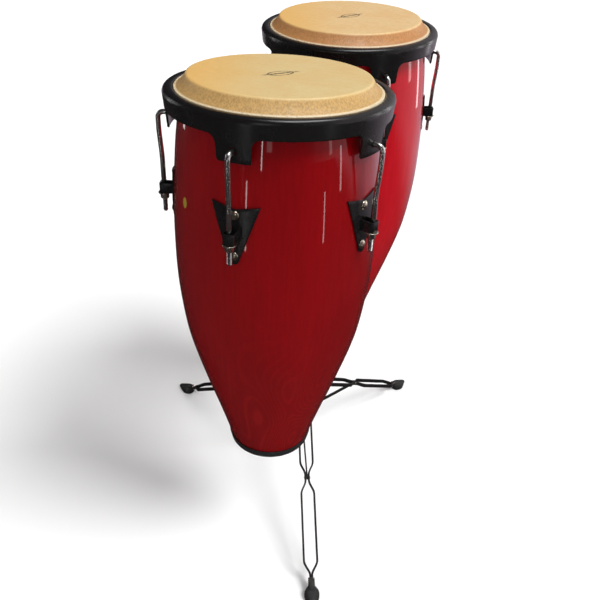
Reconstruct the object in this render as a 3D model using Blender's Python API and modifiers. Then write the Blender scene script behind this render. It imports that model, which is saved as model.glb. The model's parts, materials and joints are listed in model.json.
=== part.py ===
"""A pair of congas hung on a folding double stand.

Each drum is a turned wooden shell with a hide head, a steel flesh hoop, a curved rim, five tension
hooks with their nuts, and five side plates. A bracket on each shell drops over a peg of the yoke. The
yoke turns on a height-adjustable post, and the post stands in a tripod whose legs fold down along it.

Frame: metres, +Z up, +X from the front drum to the back drum, and the floor at Z = 0. The origin is
the centre of the whole assembly's plan, on the floor.
"""

import math

import bmesh
import bpy
from mathutils import Vector

# ---------------------------------------------------------------- driving dimensions (metres, degrees)

CLEARANCE = 0.0003  # between pieces that touch
RUNNING_CLEARANCE = 0.0004  # between pieces that slide or turn
SEGMENTS = 40  # sides of a turned drum piece; the lugs fall on its corners
SMALL_SEGMENTS = 24  # sides of a tube, sleeve or washer
RIVET_SEGMENTS = 12

# drums
HEAD_HEIGHT = 1.032  # front drum's head plane above the floor
BACK_RISE = 0.0138  # the back drum hangs this much higher
HEAD_SPACING = 0.410  # between the two heads' centres
LEAN = 2.15  # each drum's foot swings out from the post by this angle
BEARING_RADIUS = 0.1397  # 11 inch head
SHELL_LENGTH = 0.7190
WALL = 0.0115
# share of the length below the head plane, and the shell's outer radius there
SHELL_SHAPE = (
    (0.0445, 0.1487), (0.0862, 0.1557), (0.1391, 0.1608), (0.2086, 0.1652),
    (0.2921, 0.1689), (0.3755, 0.1700), (0.4590, 0.1688), (0.5424, 0.1634),
    (0.6259, 0.1542), (0.7510, 0.1300), (0.8762, 0.1025),
)
FOOT_RADIUS = 0.0762
BASE_RING_HEIGHT = 0.0125
BASE_RING_WALL = 0.0028
BASE_RING_FLOOR = 0.0030  # the ring's thickness under the shell

# heads
SKIN = 0.0020
COLLAR_DROP = 0.0214  # head plane to where the hide meets the rim
COLLAR_RADIUS = 0.1597
CREASE = 0.0016  # rounding where the head turns down into its collar
HOOP_WIRE = 0.0035  # flesh hoop's section radius
HOOP_BELOW_COLLAR = 0.0095
HOOP_SIDES = 6
HEM_OVERLAP = 0.0015  # the hem runs this far past the middle of the hoop
RIM_OUTER_RADIUS = 0.1767
RIM_TOP = 0.0186
RIM_WALL = 0.0034
RIM_WALL_BOTTOM = 0.0480
EAR_BOTTOM = 0.0845
EAR_LEAN = 0.0050  # how far the ear's lower edge lies inside the rim's widest circle
EAR_WIDTH = 0.0540
EAR_FLARE = 0.0130  # the ear's shoulders spread by this much on each side
SHOULDER_DROP = 0.0150  # height of the hollow under each shoulder
WALL_TAPER = 0.0022  # the rim's wall draws in by this much to its foot

# tension lugs
LUGS = 5
FRONT_LUG_OFFSET = 37.3  # from each drum's bracket to its first lug
BACK_LUG_OFFSET = 33.8
HOLE_BELOW_HEAD = 0.0670
ROD = 0.0040
HOLE_CLEARANCE = 0.0010  # round the hook in its ear
ROD_RADIUS_FROM_AXIS = 0.1866  # where the straight end of each hook runs
HOOK_BULGE = 0.0026  # how far the hook's bend stands out past its straight end
HOOK_LENGTH = 0.1670  # ear hole to rod end
HOOK_BEND = 0.0090  # radius of the bend outside the ear
HOOK_BEND_FOOT = 0.0200  # the sweep back to the straight starts this far below the hole
HOOK_SWEEP = 0.0600
PLATE = 0.0025
PLATE_WIDTH = 0.0760
PLATE_TOP = 0.0800  # below the ear hole
PLATE_NOTCH = 0.0070  # depth of the top edge's shallow V
PLATE_TIP = 0.1730
PLATE_TIP_RADIUS = 0.0080
STRAP_TOP = 0.1160
STRAP_HEIGHT = 0.0170
STRAP_WIDTH = 0.0180
STRAP_GAUGE = 0.0025
BOLT_HEAD_RADIUS = 0.0073
BOLT_HEAD_HEIGHT = 0.0038
TOP_BOLT = 0.0955
BOTTOM_BOLT = 0.1600
NUT_ACROSS_FLATS = 0.0127
NUT_HEIGHT = 0.0090
WASHER_RADIUS = 0.0105
WASHER = 0.0018

# stand
POST_WALL = 0.0012
POST_BOTTOM = 0.1200
POST_TOP = 0.5600
MAST_RADIUS = 0.0127
MAST_WALL = 0.0015
MAST_BOTTOM = 0.4000
YOKE_TOP = 0.7570
YOKE_CAP = 0.0110  # solid metal over the mast's end
YOKE_SOCKET = 0.0480
YOKE_WALL = 0.0045
YOKE_BAR = (0.0220, 0.0130)  # width and height
YOKE_BAR_END = 0.0100  # the bar runs this far past each peg
PEG_FROM_DRUM = 0.1750  # from the middle of each head
PEG_RADIUS = 0.0060
PEG_LENGTH = 0.0640
SLEEVE_WALL = 0.0037
SLEEVE_HEIGHT = 0.0560
BRACKET_SIZE = (0.0560, 0.1000)
WEB_WIDTH = 0.0120
WEB_DEPTH = 0.0110
BRACKET_CORNER = 0.0120
CLAMP_HEIGHT = 0.0460
CLAMP_RADIUS = 0.0210
CLAMP_STEP = 0.0180  # how far the clamp reaches down over the post
BOSS = 0.0140

# tripod
PIVOT_RADIUS = 0.0300
PIVOT_HEIGHT = 0.2353
FOOT_POINT_RADIUS = 0.3924
FOOT_POINT_HEIGHT = 0.0150
CROSSING_SHARE = 0.4581  # of the way from the pivot to the foot
FRONT_LEG_AZIMUTH = 202.1
LEG_SPREAD = 129.45  # each other leg stands this far round from the front leg
FOLD = 57.0
STRIP = 0.0040
STRIP_HEIGHT = 0.0095
LOOP_HALF_WIDTH = 0.0145
RAMP = 0.0300
LEG_TAIL = 0.0070
HUB_FLAT = 0.0100  # the bars run parallel for this far from the pivot
CROSSING_FLAT = 0.0060  # and for this far on each side of the crossing
MEETING = 0.0240  # the bars meet this far short of the foot
RIVET_STICKS_OUT = 0.0015
LUG_PLATE = 0.0050
HUB_RADIUS = 0.0190
HUB_HEIGHT = 0.0320
HUB_LUG_HEIGHT = 0.0160
RIVET = 0.0030
BRACE = 0.0030
BRACE_HEIGHT = 0.0085
COLLAR_PIVOT_RADIUS = 0.0400
COLLAR_BELOW_HUB = 0.0844
COLLAR_SLEEVE_RADIUS = 0.0175
COLLAR_SLEEVE_HEIGHT = 0.0200
COLLAR_EAR = 0.0020
COLLAR_EAR_HEIGHT = 0.0120
FOOT_HEIGHT = 0.0200
FOOT_HALF_WIDTH = 0.0165
FOOT_REACH = 0.0430
FOOT_SLOPE = 0.0090  # the foot's top falls by this much to its tip
STUB_REACH = 0.0100

# wing bolts
STEM = 0.0035
STEM_LENGTH = 0.0240
WING_SPAN = 0.0340
WING_HEIGHT = 0.0140
WING_GAUGE = 0.0050

# ranges of motion, noted on the empties that the moving pieces hang on
TENSION_TRAVEL = 0.0100
THREAD_PITCH = 0.00125
SWIVEL = 15.0
MAST_TRAVEL = (-0.080, 0.120)

# ---------------------------------------------------------------- sizes worked out from those above

SHELL_OUTLINE = [(share * SHELL_LENGTH, radius) for share, radius in SHELL_SHAPE]
HALF_SPACING = HEAD_SPACING / 2
PEG_FROM_POST = HALF_SPACING - PEG_FROM_DRUM
MAST_BORE = MAST_RADIUS - MAST_WALL
POST_BORE = MAST_RADIUS + RUNNING_CLEARANCE
POST_RADIUS = POST_BORE + POST_WALL
BORE_SEGMENT_LOSS = 1 / math.cos(math.pi / SMALL_SEGMENTS)
LEG_LENGTH = math.hypot(FOOT_POINT_RADIUS - PIVOT_RADIUS, PIVOT_HEIGHT - FOOT_POINT_HEIGHT)
LEG_SLOPE = math.asin((PIVOT_HEIGHT - FOOT_POINT_HEIGHT) / LEG_LENGTH)
CROSSING = CROSSING_SHARE * LEG_LENGTH
FOLD_ANGLE = math.radians(FOLD)


def brace_reach():
    """Horizontal and vertical distance from a leg's crossing to the collar's pivot, legs open."""
    level = PIVOT_RADIUS + CROSSING * math.cos(LEG_SLOPE) - COLLAR_PIVOT_RADIUS
    rise = CROSSING * math.sin(LEG_SLOPE) - COLLAR_BELOW_HUB
    return level, rise


BRACE_LENGTH = math.hypot(*brace_reach())


def collar_drop_folded():
    """The collar's distance below the hub when the legs are folded."""
    slope = LEG_SLOPE + FOLD_ANGLE
    level = PIVOT_RADIUS + CROSSING * math.cos(slope) - COLLAR_PIVOT_RADIUS
    return CROSSING * math.sin(slope) - math.sqrt(BRACE_LENGTH**2 - level**2)


COLLAR_TRAVEL = COLLAR_BELOW_HUB - collar_drop_folded()


def brace_turn():
    """The brace's turn on its leg while the leg folds, in radians."""
    level, rise = brace_reach()
    slope = LEG_SLOPE + FOLD_ANGLE
    folded_level = PIVOT_RADIUS + CROSSING * math.cos(slope) - COLLAR_PIVOT_RADIUS
    folded_rise = math.sqrt(BRACE_LENGTH**2 - folded_level**2)
    return math.atan2(level, rise) - math.atan2(folded_level, folded_rise) - FOLD_ANGLE


# ---------------------------------------------------------------- scene and small helpers


def clear_scene():
    for obj in list(bpy.data.objects):
        bpy.data.objects.remove(obj)


def collection(name, hidden=False):
    made = bpy.data.collections.new(name)
    bpy.context.scene.collection.children.link(made)
    made.hide_render = hidden
    return made


clear_scene()
PARTS = collection("conga_pair")
CUTTERS = collection("cutters", hidden=True)


def material(name, colour, roughness, metallic=0.0):
    made = bpy.data.materials.new(name)
    made.use_nodes = True
    shader = made.node_tree.nodes["Principled BSDF"]
    shader.inputs["Base Color"].default_value = (*colour, 1)
    shader.inputs["Roughness"].default_value = roughness
    shader.inputs["Metallic"].default_value = metallic
    return made


LACQUER = material("red_lacquer", (0.42, 0.005, 0.015), 0.12)
HIDE = material("hide", (0.62, 0.38, 0.17), 0.55)
BLACK = material("black_enamel", (0.012, 0.012, 0.013), 0.35, 0.3)
CHROME = material("chrome", (0.75, 0.74, 0.72), 0.12, 1.0)
STEEL = material("bare_steel", (0.55, 0.55, 0.55), 0.3, 1.0)
RUBBER = material("rubber", (0.015, 0.015, 0.016), 0.7)


def empty(name, parent=None, location=(0, 0, 0), rotation=(0, 0, 0)):
    made = bpy.data.objects.new(name, None)
    made.empty_display_size = 0.02
    made.parent = parent
    made.location = location
    made.rotation_euler = rotation
    PARTS.objects.link(made)
    return made


def place(obj, parent, location=(0, 0, 0), rotation=(0, 0, 0)):
    obj.parent = parent
    obj.location = location
    obj.rotation_euler = rotation
    return obj


def finish(obj, paint):
    """Makes an object a visible part with its own material."""
    obj.data.materials.clear()
    obj.data.materials.append(paint)
    if obj.type == "MESH":
        obj.data.shade_smooth()
        obj.data.set_sharp_from_angle(angle=math.radians(35))
    return obj


def helper(obj):
    """Marks an object as a cutter."""
    for owner in list(obj.users_collection):
        owner.objects.unlink(obj)
    CUTTERS.objects.link(obj)
    obj.hide_render = True
    obj.display_type = "WIRE"
    return obj


def turned(name, profile, segments=SEGMENTS):
    """A solid of revolution about Z from (radius, height) points, its outer side running down."""
    on_axis = profile[0][0] == 0 and profile[-1][0] == 0
    mesh = bpy.data.meshes.new(name)
    count = len(profile)
    edges = [(i, i + 1) for i in range(count - 1)]
    if not on_axis:
        edges.append((count - 1, 0))
    mesh.from_pydata([(r, 0, z) for r, z in profile], edges, [])
    obj = bpy.data.objects.new(name, mesh)
    PARTS.objects.link(obj)
    screw = obj.modifiers.new("turn", "SCREW")
    screw.steps = screw.render_steps = segments
    screw.use_merge_vertices = True
    screw.merge_threshold = 0.00001
    screw.use_smooth_shade = True
    return obj


def extruded(name, outlines, depth):
    """A flat outline in XY, and any holes in it, given a thickness along Z."""
    curve = bpy.data.curves.new(name, "CURVE")
    curve.dimensions = "2D"
    curve.fill_mode = "BOTH"
    curve.extrude = depth / 2
    for outline in outlines:
        spline = curve.splines.new("POLY")
        spline.points.add(len(outline) - 1)
        for point, (x, y) in zip(spline.points, outline):
            point.co = (x, y, 0, 1)
        spline.use_cyclic_u = True
    return meshed(bpy.data.objects.new(name, curve))


def meshed(obj):
    """A curve object made a closed mesh object."""
    PARTS.objects.link(obj)
    bpy.context.view_layer.update()
    mesh = baked(obj)
    made = bpy.data.objects.new(obj.name, mesh)
    made.matrix_world = obj.matrix_world
    name = obj.name
    bpy.data.objects.remove(obj)
    made.name = name
    PARTS.objects.link(made)
    return made


def baked(obj):
    """The evaluated mesh of an object, with loose caps joined."""
    bpy.context.view_layer.update()
    graph = bpy.context.evaluated_depsgraph_get()
    mesh = bpy.data.meshes.new_from_object(obj.evaluated_get(graph))
    work = bmesh.new()
    work.from_mesh(mesh)
    bmesh.ops.remove_doubles(work, verts=work.verts, dist=0.00001)
    work.to_mesh(mesh)
    work.free()
    return mesh


def primitive(name, build):
    """A mesh object from a bmesh operator."""
    mesh = bpy.data.meshes.new(name)
    work = bmesh.new()
    build(work)
    work.to_mesh(mesh)
    work.free()
    obj = bpy.data.objects.new(name, mesh)
    PARTS.objects.link(obj)
    return obj


def cylinder(name, radius, length, segments=SMALL_SEGMENTS):
    return primitive(name, lambda work: bmesh.ops.create_cone(
        work, cap_ends=True, segments=segments, radius1=radius, radius2=radius, depth=length))


def box(name, size, centre=(0, 0, 0)):
    def build(work):
        made = bmesh.ops.create_cube(work, size=1)
        bmesh.ops.scale(work, vec=size, verts=made["verts"])
        bmesh.ops.translate(work, vec=centre, verts=made["verts"])
    return primitive(name, build)


def boolean(obj, operation, other):
    """Joins or cuts an object with a helper, which stays hidden."""
    helper(other)
    made = obj.modifiers.new(operation.lower(), "BOOLEAN")
    made.operation = operation
    made.solver = "EXACT"
    made.object = other
    return obj


def settled(obj):
    """Fixes an object's modifiers into a mesh of its own and removes its helpers."""
    mesh = baked(obj)
    helpers = [m.object for m in obj.modifiers if m.type == "BOOLEAN"]
    obj.modifiers.clear()
    obj.data = mesh
    for other in helpers:
        bpy.data.objects.remove(other)
    return obj


def circle(centre, radius, segments=RIVET_SEGMENTS):
    """Points of a circle in a flat outline."""
    turn = 2 * math.pi / segments
    return [(centre[0] + radius * math.cos(i * turn), centre[1] + radius * math.sin(i * turn))
            for i in range(segments)]


def copies(source, names, parent, angles, paint):
    """Copies of one piece round an axis, sharing its mesh; the source is used for the first."""
    made = []
    for index, (name, angle) in enumerate(zip(names, angles)):
        obj = source if index == 0 else bpy.data.objects.new(name, source.data)
        if index:
            PARTS.objects.link(obj)
        obj.name = name
        made.append(finish(place(obj, parent, rotation=(0, 0, angle)), paint))
    return made


# ---------------------------------------------------------------- shared drum shapes


def shell_radius(drop):
    """Outer radius of the shell at a distance below the head plane."""
    points = [(SKIN + CLEARANCE, BEARING_RADIUS - SKIN), *SHELL_OUTLINE, (SHELL_LENGTH, FOOT_RADIUS)]
    if drop <= points[0][0]:
        return points[0][1]
    for (s0, r0), (s1, r1) in zip(points, points[1:]):
        if drop <= s1:
            return r0 + (r1 - r0) * (drop - s0) / (s1 - s0)
    return points[-1][1]


def shell_stations(top, bottom):
    """The outline's distances between two limits, with the limits."""
    return [top, *[s for s, _ in SHELL_OUTLINE if top < s < bottom], bottom]


def skirt_band(name, top, bottom):
    """A ring that lies on the shell between two distances below the head plane, one plate thick."""
    stations = shell_stations(top, bottom)
    outer = [(shell_radius(s) + CLEARANCE + PLATE, -s) for s in stations]
    inner = [(shell_radius(s) + CLEARANCE, -s) for s in stations]
    return turned(name, outer + inner[::-1])


def make_shell(name, parent):
    top = SKIN + CLEARANCE
    inside_top = top + 0.004
    stations = [s for s, _ in SHELL_OUTLINE] + [SHELL_LENGTH]
    outer = [(BEARING_RADIUS - SKIN - 0.0030, -top), (BEARING_RADIUS - SKIN, -top - 0.0025)]
    outer += [(shell_radius(s), -s) for s in stations]
    inner = [(shell_radius(s) - WALL, -s) for s in stations[::-2]]
    inner += [(BEARING_RADIUS - SKIN - WALL, -inside_top), (BEARING_RADIUS - SKIN - 0.0060, -top)]
    return finish(place(turned(name, outer + inner), parent), LACQUER)


def make_base_ring(name, parent):
    """A black ring round the shell's foot, turned under its edge."""
    top = SHELL_LENGTH - BASE_RING_HEIGHT
    under = SHELL_LENGTH + CLEARANCE
    floor = under + BASE_RING_FLOOR
    profile = [
        (shell_radius(top) + CLEARANCE, -top),
        (shell_radius(top) + BASE_RING_WALL, -top),
        (FOOT_RADIUS + BASE_RING_WALL, -floor),
        (FOOT_RADIUS - WALL, -floor),
        (FOOT_RADIUS - WALL, -under),
        (FOOT_RADIUS + CLEARANCE, -under),
    ]
    return finish(place(turned(name, profile), parent), RUBBER)


def hoop_centre():
    return COLLAR_RADIUS + CLEARANCE + HOOP_WIRE, COLLAR_DROP + HOOP_BELOW_COLLAR


def make_skin(name, parent):
    """The hide: a flat head, a sloped collar and a hem tucked under the flesh hoop."""
    radius, drop = hoop_centre()
    tuck = drop + HOOP_WIRE + CLEARANCE
    hem = radius + HEM_OVERLAP
    profile = [
        (0, 0), (BEARING_RADIUS - CREASE, 0), (BEARING_RADIUS, -CREASE),
        (COLLAR_RADIUS, -COLLAR_DROP), (COLLAR_RADIUS, -tuck), (hem, -tuck),
        (hem, -tuck - SKIN), (COLLAR_RADIUS - SKIN, -tuck - SKIN),
        (COLLAR_RADIUS - SKIN, -COLLAR_DROP - 0.0008), (BEARING_RADIUS - SKIN, -SKIN), (0, -SKIN),
    ]
    return finish(place(turned(name, profile), parent), HIDE)


def make_flesh_hoop(name, parent):
    """The steel ring that the hide is wrapped on, hidden under the rim."""
    radius, drop = hoop_centre()
    step = 2 * math.pi / HOOP_SIDES
    profile = [(radius + HOOP_WIRE * math.sin(i * step), -drop + HOOP_WIRE * math.cos(i * step))
               for i in range(HOOP_SIDES)]
    return finish(place(turned(name, profile), parent), STEEL)


def rim_profile():
    """Section of the rim with its skirt, from the inner lip over the crown to the ear's lower edge."""
    lip = COLLAR_RADIUS + CLEARANCE
    _, drop = hoop_centre()
    under = drop - HOOP_WIRE - CLEARANCE
    outer = RIM_OUTER_RADIUS
    ear = outer - EAR_LEAN
    wall_foot = outer - WALL_TAPER
    return [
        (lip, -COLLAR_DROP - 0.0006), (lip + 0.0016, -RIM_TOP - 0.0007), (lip + 0.0062, -RIM_TOP),
        (outer - 0.0040, -RIM_TOP - 0.0010), (outer, -RIM_TOP - 0.0060),
        (wall_foot, -RIM_WALL_BOTTOM), (ear, -EAR_BOTTOM), (ear - RIM_WALL, -EAR_BOTTOM),
        (wall_foot - RIM_WALL, -RIM_WALL_BOTTOM), (outer - RIM_WALL, -under - 0.0020),
        (outer - RIM_WALL, -under), (lip, -under),
    ]


def ear_outline():
    """An ear with flared, hollowed shoulders, in the plane that faces outwards: (across, down)."""
    half = EAR_WIDTH / 2
    shoulder = RIM_WALL_BOTTOM - 0.0040
    depth = EAR_BOTTOM + 0.0020
    side = []
    steps = 5
    for i in range(steps + 1):
        turn = math.pi / 2 * i / steps
        side.append((half + EAR_FLARE * (1 - math.sin(turn)),
                     RIM_WALL_BOTTOM + SHOULDER_DROP * (1 - math.cos(turn))))
    right = [(half + EAR_FLARE, shoulder), *side, (half, EAR_BOTTOM - 0.0040), (half - 0.0040, EAR_BOTTOM),
             (half - 0.0040, depth)]
    return right + [(-x, y) for x, y in right[::-1]]


def make_rim(name, parent):
    """The rim: a turned crown and wall, with the skirt cut back to five ears and drilled for the hooks."""
    rim = turned(name, rim_profile())
    low, high = RIM_OUTER_RADIUS - 0.0300, RIM_OUTER_RADIUS + 0.0100
    waste = turned("rim_waste", [
        (low, -RIM_WALL_BOTTOM), (high, -RIM_WALL_BOTTOM), (high, -EAR_BOTTOM - 0.0100),
        (low, -EAR_BOTTOM - 0.0100)])
    outline = [(x, -y) for x, y in ear_outline()][::-1]
    for index in range(LUGS):
        turn = 2 * math.pi * index / LUGS
        keep = extruded("ear_keep", [outline], 0.060)
        place(keep, None, (RIM_OUTER_RADIUS * math.cos(turn), RIM_OUTER_RADIUS * math.sin(turn), 0),
              (math.pi / 2, 0, turn + math.pi / 2))
        boolean(waste, "DIFFERENCE", keep)
    settled(waste)
    boolean(rim, "DIFFERENCE", waste)
    for index in range(LUGS):
        turn = 2 * math.pi * index / LUGS
        drill = cylinder("hook_drill", ROD + HOLE_CLEARANCE, 0.040, RIVET_SEGMENTS)
        place(drill, None, (RIM_OUTER_RADIUS * math.cos(turn), RIM_OUTER_RADIUS * math.sin(turn),
                            -HOLE_BELOW_HEAD), (0, math.pi / 2, turn))
        boolean(rim, "DIFFERENCE", drill)
    return finish(place(settled(rim), parent), BLACK)


def hook_path():
    """Route of a tension hook: out through its ear, over and down to a straight threaded end."""
    inner = RIM_OUTER_RADIUS - EAR_LEAN - RIM_WALL - 0.0030
    straight = ROD_RADIUS_FROM_AXIS
    bulge = straight + HOOK_BULGE
    hole = -HOLE_BELOW_HEAD
    centre = bulge - HOOK_BEND
    points = [(inner, hole), (centre, hole)]
    for i in range(1, 4):
        turn = math.pi / 2 * i / 3
        points.append((centre + HOOK_BEND * math.sin(turn), hole - HOOK_BEND * (1 - math.cos(turn))))
    points.append((bulge, hole - HOOK_BEND_FOOT))
    steps = 4
    for i in range(1, steps + 1):
        share = i / steps
        ease = share * share * (3 - 2 * share)
        points.append((bulge - HOOK_BULGE * ease, hole - HOOK_BEND_FOOT - HOOK_SWEEP * share))
    points.append((straight, hole - HOOK_LENGTH))
    return points


def make_hook(name):
    curve = bpy.data.curves.new(name, "CURVE")
    curve.dimensions = "3D"
    curve.bevel_depth = ROD
    curve.bevel_resolution = 2
    curve.use_fill_caps = True
    spline = curve.splines.new("POLY")
    path = hook_path()
    spline.points.add(len(path) - 1)
    for point, (r, z) in zip(spline.points, path):
        point.co = (r, 0, z, 1)
    return meshed(bpy.data.objects.new(name, curve))


def plate_outline():
    """Side plate facing outwards: a wide shallow V across the top and a rounded tip below."""
    half = PLATE_WIDTH / 2
    top = HOLE_BELOW_HEAD + PLATE_TOP
    tip = HOLE_BELOW_HEAD + PLATE_TIP
    right = [(half, top), (half - 0.0010, top + 0.0035)]
    steps = 4
    for i in range(steps + 1):
        turn = math.pi / 2 * i / steps * 0.8 + 0.30
        right.append((PLATE_TIP_RADIUS * math.cos(turn),
                      tip - PLATE_TIP_RADIUS + PLATE_TIP_RADIUS * math.sin(turn)))
    return [(0, top + PLATE_NOTCH), *right, *[(-x, y) for x, y in right[::-1]]]


def strap_outline():
    """Plan of the strap that holds the hook's end: (outwards, across), a U with square corners."""
    seat = shell_radius(HOLE_BELOW_HEAD + STRAP_TOP) + CLEARANCE + PLATE * 0.45
    out = ROD_RADIUS_FROM_AXIS + ROD + RUNNING_CLEARANCE + STRAP_GAUGE
    half = STRAP_WIDTH / 2
    inner = half - STRAP_GAUGE
    corner = 0.0030
    return [
        (seat, half), (out - corner, half), (out, half - corner), (out, corner - half),
        (out - corner, -half), (seat, -half), (seat, -inner), (out - STRAP_GAUGE, -inner),
        (out - STRAP_GAUGE, inner), (seat, inner),
    ]


def make_side_plate(name):
    """Curved steel plate with its strap and two domed bolts, at the first lug."""
    top = HOLE_BELOW_HEAD + PLATE_TOP - 0.0020
    bottom = HOLE_BELOW_HEAD + PLATE_TIP + 0.0020
    plate = skirt_band(name, top, bottom)
    outline = [(x, -y) for x, y in plate_outline()]
    stencil = extruded("plate_stencil", [outline], 0.080)
    place(stencil, None, (BEARING_RADIUS, 0, 0), (math.pi / 2, 0, math.pi / 2))
    boolean(plate, "INTERSECT", stencil)
    strap = extruded("plate_strap", [strap_outline()], STRAP_HEIGHT)
    place(strap, None, (0, 0, -HOLE_BELOW_HEAD - STRAP_TOP - STRAP_HEIGHT / 2))
    boolean(plate, "UNION", strap)
    for drop in (TOP_BOLT, BOTTOM_BOLT):
        seat = shell_radius(HOLE_BELOW_HEAD + drop) + CLEARANCE + PLATE * 0.45
        head = turned("bolt_head", [
            (0, BOLT_HEAD_HEIGHT), (BOLT_HEAD_RADIUS * 0.7, BOLT_HEAD_HEIGHT * 0.7),
            (BOLT_HEAD_RADIUS, 0), (BOLT_HEAD_RADIUS, -PLATE * 0.5), (0, -PLATE * 0.5)],
            RIVET_SEGMENTS)
        place(head, None, (seat + PLATE * 0.55, 0, -HOLE_BELOW_HEAD - drop), (0, math.pi / 2, 0))
        boolean(plate, "UNION", head)
    return settled(plate)


def make_nut(name):
    """A hexagon nut and the washer above it, bored for the threaded rod."""
    nut = cylinder(name, NUT_ACROSS_FLATS / 2 / math.cos(math.pi / 6), NUT_HEIGHT, 6)
    washer = cylinder("nut_washer", WASHER_RADIUS, WASHER, RIVET_SEGMENTS)
    washer.location = (0, 0, NUT_HEIGHT / 2 + WASHER / 2 - 0.0002)
    boolean(nut, "UNION", washer)
    bore = (ROD + RUNNING_CLEARANCE) / math.cos(math.pi / RIVET_SEGMENTS)
    drill = cylinder("nut_drill", bore, 0.040, RIVET_SEGMENTS)
    boolean(nut, "DIFFERENCE", drill)
    return settled(nut)


def make_wing_bolt(name, parent, location, rotation):
    """A stem along +Z with a flat wing on its end; the stem's foot is at the origin."""
    bolt = cylinder(name, STEM, STEM_LENGTH, RIVET_SEGMENTS)
    for vertex in bolt.data.vertices:
        vertex.co.z += STEM_LENGTH / 2
    half, top = WING_SPAN / 2, STEM_LENGTH + WING_HEIGHT
    outline = [(-0.005, STEM_LENGTH - 0.004), (0.005, STEM_LENGTH - 0.004), (half, top - 0.006),
               (half - 0.003, top), (half - 0.008, top), (0, STEM_LENGTH + 0.003), (0.008 - half, top),
               (0.003 - half, top), (-half, top - 0.006)]
    wing = extruded("wing", [outline], WING_GAUGE)
    place(wing, None, rotation=(math.pi / 2, 0, 0))
    boolean(bolt, "UNION", wing)
    return finish(place(settled(bolt), parent, location, rotation), CHROME)


# ---------------------------------------------------------------- one drum


def lean_angle(side):
    """Tilt about Y: the foot of the drum at side -1 or +1 swings away from the post."""
    return -side * math.radians(LEAN)


def seat_height(side):
    """Where the drum's bracket rests on the yoke."""
    return YOKE_TOP + (BACK_RISE if side > 0 else 0) + CLEARANCE


def make_mount_bracket(name, swivel, drum, side, bracket_angle):
    """Curved plate on the shell with an upright sleeve that drops over the yoke's peg."""
    width, height = BRACKET_SIZE
    tip = PEG_FROM_DRUM * math.sin(math.radians(LEAN))
    middle = HEAD_HEIGHT - YOKE_TOP - SLEEVE_HEIGHT / 2 - CLEARANCE - tip
    plate = skirt_band(name, middle - height / 2, middle + height / 2)
    outward = bracket_angle
    corner = BRACKET_CORNER
    w, h = width / 2, height / 2 - 0.001
    outline = [(-w + corner, -h), (w - corner, -h), (w, corner - h), (w, h - corner), (w - corner, h),
               (corner - w, h), (-w, h - corner), (-w, corner - h)]
    stencil = extruded("bracket_stencil", [outline], 0.080)
    spot = (BEARING_RADIUS * math.cos(outward), BEARING_RADIUS * math.sin(outward), -middle)
    place(stencil, drum, spot, (math.pi / 2, 0, outward + math.pi / 2))
    place(plate, drum)
    boolean(plate, "INTERSECT", stencil)
    face = shell_radius(middle) + CLEARANCE
    web = box("bracket_web", (WEB_DEPTH, WEB_WIDTH, SLEEVE_HEIGHT - 0.006),
              (face + PLATE * 0.4 + WEB_DEPTH / 2, 0, 0))
    place(web, drum, (0, 0, -middle), (0, 0, outward))
    boolean(plate, "UNION", web)
    sleeve = cylinder("bracket_sleeve", PEG_RADIUS + RUNNING_CLEARANCE + SLEEVE_WALL, SLEEVE_HEIGHT)
    place(sleeve, swivel, (0, 0, SLEEVE_HEIGHT / 2))
    boolean(plate, "UNION", sleeve)
    bore = (PEG_RADIUS + RUNNING_CLEARANCE) * BORE_SEGMENT_LOSS
    drill = cylinder("bracket_drill", bore, SLEEVE_HEIGHT * 2)
    place(drill, swivel, (0, 0, SLEEVE_HEIGHT / 2))
    boolean(plate, "DIFFERENCE", drill)
    tap = cylinder("bracket_tap", STEM + RUNNING_CLEARANCE, 0.020, RIVET_SEGMENTS)
    place(tap, swivel, (0, side * 0.0100, SLEEVE_HEIGHT / 2), (math.pi / 2, 0, 0))
    boolean(plate, "DIFFERENCE", tap)
    return finish(plate, BLACK)


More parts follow.
